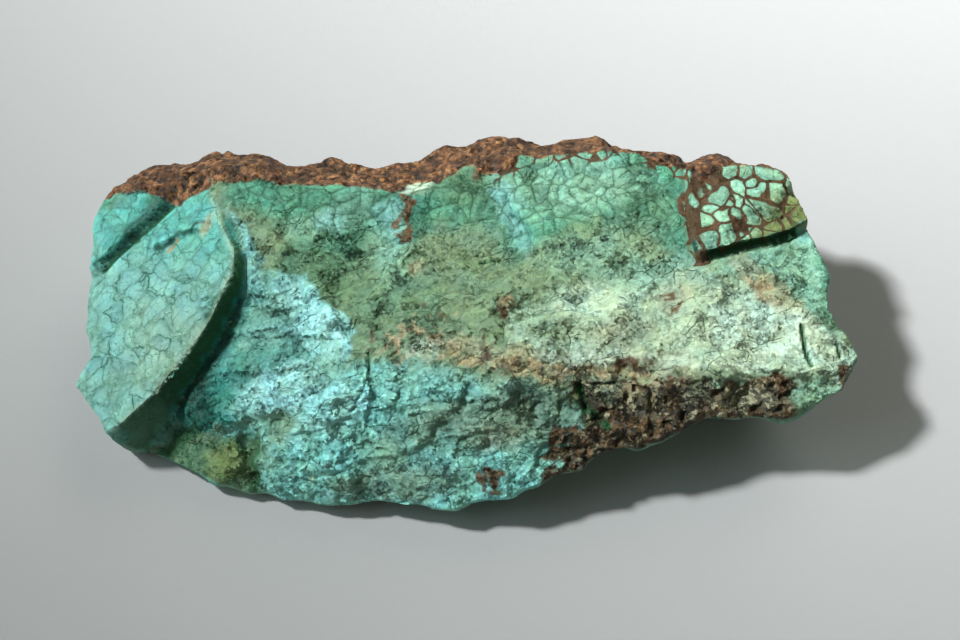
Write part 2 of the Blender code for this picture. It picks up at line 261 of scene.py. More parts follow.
@dataclass(frozen=True)
class Scarp:
    """The edge of a flake: raised on the left of its line, fading out away from the line."""

    line: Line
    rise: float
    fade: float
    step: float = 0.00018

    def rise_at(self, x: Points, y: Points) -> Points:
        """Measures the flake.

        Args:
            x: The points' X.
            y: The points' Y.

        Returns:
            How much the flake raises each point of the plan.
        """
        gap, place = distance_to_line(x, y, self.line)
        corners = np.array(self.line)
        corner = np.minimum(place.astype(int), len(corners) - 2)
        run = np.diff(corners, axis=0)[corner]
        start = corners[corner]
        left = run[:, 0] * (y - start[:, 1]) - run[:, 1] * (x - start[:, 0]) > 0
        ends = np.minimum(place, len(corners) - 1 - place)
        side = smooth_step(-self.step, self.step, np.where(left, gap, -gap))
        return self.rise * side * np.exp(-gap / self.fade) * smooth_step(0.0, 0.5, ends)


@dataclass(frozen=True)
class Ledge:
    """A raised area behind an edge: the edge's corners, the wall's width at each, and the far corners."""

    edge: Line
    wall: tuple[float, ...]
    back: Line
    full_share: float = 0.4

    def width(self, place: Points) -> Points:
        """The wall's width at places along the edge."""
        return np.interp(place, np.arange(len(self.wall)), self.wall)

    def behind(self, x: Points, y: Points) -> Points:
        """Whether each point lies on the raised side of the edge."""
        return inside(x, y, self.edge + self.back)

    def share(self, x: Points, y: Points) -> Points:
        """1 on the raised side of the edge, falling to 0 across the wall."""
        gap, place = distance_to_line(x, y, self.edge)
        return np.where(self.behind(x, y), 1.0, 1.0 - np.clip(gap / self.width(place), 0.0, 1.0))

    def near(self, x: Points, y: Points, reach: float) -> Points:
        """Finds the points near the edge.

        Args:
            x: The points' X.
            y: The points' Y.
            reach: How far from the edge and its wall the share ends.

        Returns:
            1 along the edge and on the wall, falling to 0.
        """
        gap, place = distance_to_line(x, y, self.edge)
        gap = np.where(self.behind(x, y), gap, np.maximum(gap - self.width(place), 0.0))
        return smooth_step(reach, self.full_share * reach, gap)


@dataclass
class BrokenFace:
    """The broken face: its facets, the scars in them, and the two raised areas."""

    rounding: float = 0.0004
    middle: Facet = Facet(0.0032, 0.0027, 0.0160, 0.010, 0.207)
    lower: Facet = Facet(-0.0093, -0.0159, 0.0075, 0.189, 1.025)
    facets: tuple[Facet, ...] = (
        Facet(-0.0175, 0.0000, 0.0152, 0.215, 0.410),  # rises from the slab to the diagonal crest
        Facet(0.0282, -0.0112, 0.0107, -0.090, 0.765),  # under the near ridge
        Facet(0.0386, 0.0005, 0.0142, -0.088, 0.227),  # the right end
        Facet(0.0333, 0.0027, 0.0152, -0.190, 0.080),  # falls away past the right end's ridge
        Facet(-0.0290, -0.0150, 0.0042, 0.650, 0.900),  # the near left corner
    )
    bowls: tuple[Bowl, ...] = (
        Bowl(-0.0125, 0.0040, 0.0085, 0.0055, 60, 0.0011),
        Bowl(0.0005, 0.0066, 0.0095, 0.0075, 0, 0.0014),
        Bowl(-0.0020, -0.0075, 0.0090, 0.0035, 10, 0.0006),
        Bowl(0.0198, 0.0089, 0.0110, 0.0060, 0, -0.0008),
        Bowl(0.0140, -0.0060, 0.0120, 0.0045, 8, -0.0006),
        Bowl(0.0167, -0.0130, 0.0040, 0.0025, 0, 0.0012),
        Bowl(0.0284, -0.0112, 0.0035, 0.0020, 0, 0.0010),
        Bowl(0.0440, -0.0065, 0.0060, 0.0040, 20, -0.0010),
        Bowl(-0.0270, 0.0175, 0.0070, 0.0060, 0, 0.0010),
    )
    troughs: tuple[Trough, ...] = (
        Trough(((-0.0345, -0.0118), (-0.0313, -0.0088), (-0.0282, -0.0045)), 0.0018, 0.0007),
        Trough(((0.0044, -0.0107), (0.0160, -0.0108)), 0.0012, -0.0006),
        Trough(((0.0160, -0.0108), (0.0282, -0.0094)), 0.0012, -0.0006),
        Trough(((0.0282, -0.0094), (0.0400, -0.0085)), 0.0012, -0.0006),
        Trough(((-0.0245, -0.0141), (-0.0230, -0.0188)), 0.0010, 0.0009),
    )
    scarps: tuple[Scarp, ...] = (
        Scarp(((0.0093, 0.0035), (0.0070, 0.0085), (0.0042, 0.0125)), -0.0008, 0.0060),
        Scarp(((0.0196, -0.0011), (0.0106, -0.0031), (0.0048, -0.0045), (0.0048, -0.0102)), 0.0005, 0.0080),
        Scarp(((-0.0115, -0.0145), (-0.0104, -0.0120), (-0.0112, -0.0060)), 0.0006, 0.0040),
        Scarp(((-0.0225, -0.0148), (-0.0151, -0.0135), (0.0006, -0.0120)), 0.0003, 0.0050),
        Scarp(((-0.0200, -0.0178), (-0.0073, -0.0164), (0.0105, -0.0139)), 0.0004, 0.0050),
    )
    slab: Facet = Facet(-0.0359, 0.0018, 0.0115, 0.493, 0.186)
    slab_ledge: Ledge = Ledge(
        (
            (-0.0300, 0.0159), (-0.0289, 0.0126), (-0.0282, 0.0093), (-0.0270, 0.0066), (-0.0260, 0.0041),
            (-0.0263, 0.0016), (-0.0284, -0.0025), (-0.0312, -0.0062), (-0.0345, -0.0094),
            (-0.0380, -0.0120), (-0.0420, -0.0148),
        ),
        (0.0004, 0.0005, 0.0005, 0.0007, 0.0012, 0.0015, 0.0014, 0.0014, 0.0017, 0.0019, 0.0016),
        ((-0.060, -0.016), (-0.060, 0.030), (-0.030, 0.030)),
    )
    cap_ledge: Ledge = Ledge(
        (
            (0.0254, 0.0154), (0.0255, 0.0106), (0.0264, 0.0041), (0.0310, 0.0058), (0.0344, 0.0068),
            (0.0367, 0.0079), (0.0400, 0.0099),
        ),
        (0.0005, 0.0006, 0.0007, 0.0008, 0.0008, 0.0007, 0.0007),
        ((0.050, 0.012), (0.050, 0.030), (0.0254, 0.030)),
    )
    cap_rise: float = 0.0011
    lower_rounding: float = 0.002

    def height(self, x: Points, y: Points) -> Points:
        """Works out the broken face.

        Args:
            x: The points' X.
            y: The points' Y.

        Returns:
            The height of the face over each point of the plan.
        """
        height = self.middle.height(x, y) - sum(bowl.depth_at(x, y) for bowl in self.bowls)
        height = soft_min(height, self.lower.height(x, y), self.lower_rounding)
        for facet in self.facets:
            height = soft_min(height, facet.height(x, y), self.rounding)
        height = height + sum(scarp.rise_at(x, y) for scarp in self.scarps)
        height = height + (self.slab.height(x, y) - height) * self.slab_ledge.share(x, y)
        height = height + self.cap_rise * self.cap_ledge.share(x, y)
        return height - sum(trough.depth_at(x, y) for trough in self.troughs)


@dataclass
class Flanks:
    """The sides: the waist, which is the widest line round the stone, and how the sides lean in from it."""

    waist: tuple[tuple[float, float, float], ...] = (
        (-0.0439, 0.0130, 0.0090), (-0.0436, 0.0088, 0.0087), (-0.0439, 0.0040, 0.0078),
        (-0.0436, 0.0000, 0.0070), (-0.0432, -0.0033, 0.0065), (-0.0449, -0.0050, 0.0055),
        (-0.0446, -0.0067, 0.0053), (-0.0429, -0.0093, 0.0056), (-0.0415, -0.0114, 0.0056),
        (-0.0405, -0.0133, 0.0050), (-0.0390, -0.0134, 0.0030), (-0.0351, -0.0140, 0.0013),
        (-0.0313, -0.0161, 0.0013), (-0.0264, -0.0176, 0.0016), (-0.0240, -0.0187, 0.0013),
        (-0.0204, -0.0196, 0.0014), (-0.0174, -0.0196, 0.0019), (-0.0139, -0.0202, 0.0022),
        (-0.0103, -0.0202, 0.0026), (-0.0079, -0.0209, 0.0026), (-0.0056, -0.0208, 0.0029),
        (-0.0028, -0.0214, 0.0031), (0.0003, -0.0211, 0.0039), (0.0038, -0.0209, 0.0047),
        (0.0073, -0.0202, 0.0054), (0.0132, -0.0180, 0.0066), (0.0161, -0.0167, 0.0073),
        (0.0231, -0.0145, 0.0083), (0.0266, -0.0134, 0.0087), (0.0319, -0.0125, 0.0090),
        (0.0357, -0.0127, 0.0089), (0.0407, -0.0106, 0.0099), (0.0440, -0.0096, 0.0103),
        (0.0456, -0.0073, 0.0111), (0.0432, -0.0035, 0.0120), (0.0416, -0.0007, 0.0126),
        (0.0410, 0.0027, 0.0133), (0.0402, 0.0081, 0.0148), (0.0389, 0.0113, 0.0155),
        (0.0369, 0.0154, 0.0152), (0.0324, 0.0172, 0.0150), (0.0286, 0.0188, 0.0150),
        (0.0255, 0.0179, 0.0150), (0.0251, 0.0193, 0.0150), (0.0210, 0.0200, 0.0150),
        (0.0155, 0.0212, 0.0150), (0.0088, 0.0208, 0.0150), (0.0045, 0.0213, 0.0150),
        (0.0008, 0.0211, 0.0146), (-0.0022, 0.0208, 0.0145), (-0.0059, 0.0189, 0.0142),
        (-0.0095, 0.0180, 0.0138), (-0.0144, 0.0191, 0.0135), (-0.0193, 0.0188, 0.0130),
        (-0.0232, 0.0205, 0.0125), (-0.0301, 0.0210, 0.0115), (-0.0376, 0.0203, 0.0098),
        (-0.0428, 0.0177, 0.0092),
    )
    directions: tuple[float, ...] = (0, 45, 90, 135, 180, 225, 270, 315, 345)
    undercut: tuple[float, ...] = (0.70, 0.45, 0.25, 0.35, 0.60, 0.90, 1.00, 1.10, 0.60)
    overcut: tuple[float, ...] = (0.20, 1.20, 1.70, 1.50, 0.20, 0.10, 0.10, 0.10, 0.00)
    chips: tuple[tuple[tuple, tuple], ...] = (
        ((-0.036, 0.017, 0.005), (-0.55, 0.60, -0.55)),
        ((0.035, 0.014, 0.008), (0.60, 0.50, -0.60)),
        ((-0.041, -0.002, 0.000), (-0.75, -0.10, -0.65)),
        ((0.038, -0.004, 0.005), (0.62, -0.15, -0.77)),
        ((0.004, 0.018, 0.004), (0.10, 0.80, -0.60)),
        ((-0.010, -0.0155, 0.000), (0.00, -0.35, -0.94)),
        ((0.012, 0.014, 0.000), (0.05, 0.50, -0.86)),
    )

    def distance(self, x: Points, y: Points, z: Points) -> Points:
        """Measures how far points are outside the sides.

        Args:
            x: The points' X.
            y: The points' Y.
            z: The points' Z.

        Returns:
            The distance, which is below 0 inside.
        """
        gap, place = distance_to_line(x, y, self.waist, closed=True)
        gap = np.where(inside(x, y, self.waist), -gap, gap)
        heights = [corner[2] for corner in self.waist + self.waist[:1]]
        waist = np.interp(place, np.arange(len(heights)), heights)
        direction = np.degrees(np.arctan2(y, x))
        under = np.interp(direction, self.directions, self.undercut, period=360)
        over = np.interp(direction, self.directions, self.overcut, period=360)
        lean = np.where(z < waist, under, over)
        return (gap + lean * np.abs(z - waist)) / np.sqrt(1.0 + lean * lean)


@dataclass
class StoneForm:
    """The stone as one closed form: the broken face on top, the flanks round it, and a flat base.

    rind_sweep gives the directions in plan, in degrees, between which the rind starts, is full, and ends.
    """

    face: BrokenFace = field(default_factory=BrokenFace)
    flanks: Flanks = field(default_factory=Flanks)
    crest_rounding: float = 0.0007
    rind_sweep: tuple[float, float, float, float] = (12, 30, 150, 165)
    rind_edge: tuple[float, float] = (-0.0004, 0.0008)
    least_slope: float = 0.25
    settled: float = 0.000004

    def outside(self, points: Points) -> Points:
        """Measures roughly how far points are outside the stone.

        Args:
            points: The points.

        Returns:
            The distance, which is below 0 inside.
        """
        x, y, z = points.T
        top = self.face.height(x, y) - z
        distance = -soft_min(top, -self.flanks.distance(x, y, z), self.crest_rounding)
        for point, facing in self.flanks.chips:
            facing = np.array(facing) / np.linalg.norm(facing)
            distance = np.maximum(distance, (points - np.array(point)) @ facing)
        return np.maximum(distance, -z)

    def carve(self, points: Points, rounds: int, reach: float = 0.0008, nudge: float = 0.00004) -> Points:
        """Moves points onto the stone's surface.

        Args:
            points: The points to move.
            rounds: How many small moves are made.
            reach: The longest move of one round.
            nudge: The step by which the slope is felt.

        Returns:
            The moved points.
        """
        points = points.copy()
        moving = np.arange(len(points))
        for _ in range(rounds):
            part = points[moving]
            here = self.outside(part)
            slope = np.stack([(self.outside(part + nudge * axis) - here) / nudge for axis in np.eye(3)], axis=1)
            steep = np.maximum((slope * slope).sum(axis=1), self.least_slope)
            move = slope * np.clip(here / steep, -reach, reach)[:, None]
            length = np.maximum(np.linalg.norm(move, axis=1), 1e-9)
            points[moving] = part - move * np.minimum(1.0, reach / length)[:, None]
            moving = moving[length > self.settled]
            if not len(moving):
                break
        return points

    def rind_share(self, points: Points) -> Points:
        """Tells the rind from the broken turquoise.

        Args:
            points: The points.

        Returns:
            1 on the rind, 0 on the turquoise.
        """
        x, y, z = points.T
        outwards = self.flanks.distance(x, y, z) - (z - self.face.height(x, y))
        direction = np.degrees(np.arctan2(y, x))
        start, full, full_end, end = self.rind_sweep
        sweep = smooth_step(start, full, direction) * (1.0 - smooth_step(full_end, end, direction))
        return smooth_step(*self.rind_edge, outwards) * sweep


# --- zones ---------------------------------------------------------------------------------------


@dataclass(frozen=True)
class Area:
    """A part of the broken face, by its corners in plan, in millimetres, and how softly it ends."""

    corners: Line
    fade: float = 1.0

    def share(self, x: Points, y: Points) -> Points:
        """Finds the points in the area.

        Args:
            x: The points' X.
            y: The points' Y.

        Returns:
            1 inside the area, 0 outside, with a soft border.
        """
        line = in_metres(self.corners)
        gap, _ = distance_to_line(x, y, line, closed=True)
        gap = np.where(inside(x, y, line), gap, -gap)
        return smooth_step(-self.fade * MM, self.fade * MM, gap)


class Zone(Enum):
    """The areas of the broken face that broke each in its own way."""

    BRIGHT = Area(
        (
            (-27.4, 10.1), (-25.8, 8.9), (-23.9, 6.5), (-21.9, 2.6), (-17.6, 1.9), (-15.8, -1.0),
            (-12.4, -3.7), (-12.6, -6.5), (-13.5, -9.0), (-19.0, -11.5), (-27.0, -13.0), (-38.0, -12.0),
            (-31.2, -6.2), (-26.3, 1.6), (-25.3, 6.1),
        ),
        0.35,
    )
    LOWER = Area(
        (
            (-27.0, -13.0), (-19.0, -11.5), (-13.5, -9.0), (-8.0, -8.2), (0.0, -10.0), (5.0, -11.2),
            (10.0, -11.5), (14.0, -13.0), (16.0, -24.0), (-27.0, -24.0),
        ),
        1.2,
    )
    UPPER = Area(
        (
            (-27.0, 11.0), (-20.0, 8.0), (-12.0, 7.0), (-8.0, 6.0), (-3.0, 8.5), (2.0, 9.0), (6.0, 5.0),
            (9.0, 6.0), (14.0, 7.5), (20.0, 7.5), (25.0, 4.0), (25.5, 26.0), (-27.0, 26.0),
        ),
        1.6,
    )
    RIGHT = Area(
        (
            (5.0, -7.5), (5.0, -3.0), (10.0, 0.0), (20.0, 2.2), (27.0, 3.0), (31.0, 3.0), (37.0, -1.0),
            (42.0, -5.0), (47.0, -8.0), (42.0, -9.2), (26.0, -9.6), (12.0, -9.6),
        ),
        1.5,
    )
    UNDER = Area(
        (
            (12.0, -10.6), (19.4, -9.9), (26.0, -9.9), (37.0, -9.4), (35.0, -16.0), (22.0, -17.0),
            (12.0, -21.0), (8.0, -20.0), (13.0, -14.5),
        ),
        0.7,
    )
    CORNER = Area(((-28.5, -13.4), (-23.6, -13.9), (-22.5, -19.5), (-34.0, -17.5), (-33.5, -13.6)), 0.7)
    BAND = Area(
        (
            (24.5, 15.5), (24.3, 12.0), (24.6, 9.0), (25.2, 6.0), (26.0, 3.2), (27.4, 3.6), (26.8, 5.4),
            (26.6, 8.4), (26.8, 11.5), (27.4, 13.2), (29.6, 14.8), (28.2, 16.5),
        ),
        0.5,
    )
    HUSK = Area(
        (
            (-46.0, 15.2), (-43.0, 15.1), (-40.6, 15.5), (-37.4, 14.6), (-36.4, 14.0), (-34.9, 13.1),
            (-32.8, 11.7), (-31.4, 12.5), (-29.6, 12.7), (-28.5, 13.2), (-26.1, 12.8), (-23.4, 13.1),
            (-20.7, 12.6), (-17.7, 12.9), (-15.1, 13.8), (-13.0, 12.9), (-10.0, 12.3), (-8.3, 11.9),
            (-7.3, 14.4), (-4.6, 15.4), (-3.2, 14.6), (-2.4, 16.2), (0.7, 15.9), (1.4, 13.9), (3.5, 13.9),
            (5.2, 14.6), (6.5, 16.3), (9.2, 15.9), (12.2, 16.3), (15.9, 16.8), (18.6, 16.5), (20.7, 16.0),
            (22.7, 15.7), (25.0, 14.6), (26.5, 12.6), (29.3, 15.1), (33.0, 15.8), (46.0, 18.0),
            (46.0, 32.0), (-46.0, 32.0),
        ),
        0.35,
    )


class Tint(Enum):
    """The stone's colours, as the share of red, green and blue light that they send back."""

    SKY = (0.182, 0.440, 0.390)
    AQUA = (0.102, 0.425, 0.370)
    CYAN = (0.160, 0.400, 0.350)
    ICE = (0.390, 0.830, 0.840)
    TEAL = (0.012, 0.225, 0.190)
    SEA = (0.212, 0.590, 0.535)
    SAGE = (0.155, 0.258, 0.185)
    OLIVE = (0.082, 0.198, 0.108)
    FERN = (0.152, 0.250, 0.142)
    JADE = (0.066, 0.262, 0.172)
    MINT = (0.212, 0.437, 0.312)
    PALE = (0.335, 0.490, 0.345)
    CHALK = (0.520, 0.710, 0.560)
    STRAW = (0.165, 0.225, 0.075)
    TAN = (0.350, 0.350, 0.215)
    BUFF = (0.330, 0.285, 0.160)
    # MOSS and ABYSS are laid mostly as painted shade: on walls, in cracks and grooves, and in the slab's shadow.
    MOSS = (0.010, 0.098, 0.030)
    ABYSS = (0.002, 0.050, 0.036)
    RUST = (0.100, 0.056, 0.022)
    UMBER = (0.096, 0.060, 0.028)
    BARK = (0.150, 0.068, 0.026)
    PINK = (0.300, 0.168, 0.070)
    PITCH = (0.025, 0.026, 0.018)


def share_within(zone: Zone | None, x: Points, y: Points) -> Points | float:
    """The share of a zone at each point of the plan, or 1 for no zone."""
    return zone.value.share(x, y) if zone else 1.0


@dataclass(frozen=True)
class Stain:
    """A patch of colour: where it lies in plan, in millimetres, its radii, turn, colour and strength."""

    x: float
    y: float
    long_radius: float
    short_radius: float
    turn: float
    tint: Tint
    strength: float = 1.0
    within: Zone | None = None

    def share(self, x: Points, y: Points) -> Points:
        """How much of the colour shows at each point of the plan."""
        spot = Bowl(self.x * MM, self.y * MM, self.long_radius * MM, self.short_radius * MM, self.turn, 1.0)
        return self.strength * share_within(self.within, x, y) * smooth_step(1.25, 0.45, spot.reach(x, y))


@dataclass(frozen=True)
class Vein:
    """A line of colour: its corners in plan, in millimetres, its half width, colour and strength."""

    line: Line
    half_width: float
    tint: Tint
    strength: float = 1.0
    within: Zone | None = None

    def share(self, x: Points, y: Points) -> Points:
        """How much of the colour shows at each point of the plan."""
        gap = distance_to_line(x, y, in_metres(self.line))[0] / (self.half_width * MM)
        return self.strength * share_within(self.within, x, y) * smooth_step(1.5, 0.5, gap)


@dataclass(frozen=True)
class Ground:
    """A zone's own colour, and its strength."""

    zone: Zone
    tint: Tint
    strength: float = 1.0

    def share(self, x: Points, y: Points) -> Points:
        """How much of the colour shows at each point of the plan."""
        return self.strength * self.zone.value.share(x, y)


class Coat:
    """The colour of each point of the skin, laid on one over another."""

    def __init__(self, count: int, ground: Tint) -> None:
        """Starts with one colour all over."""
        self.colour = np.tile(np.array(ground.value), (count, 1))

    def lay(self, share: Points, tint: Tint) -> None:
        """Lays a colour over what is there."""
        self.colour += (np.array(tint.value) - self.colour) * np.clip(share, 0.0, 1.0)[:, None]


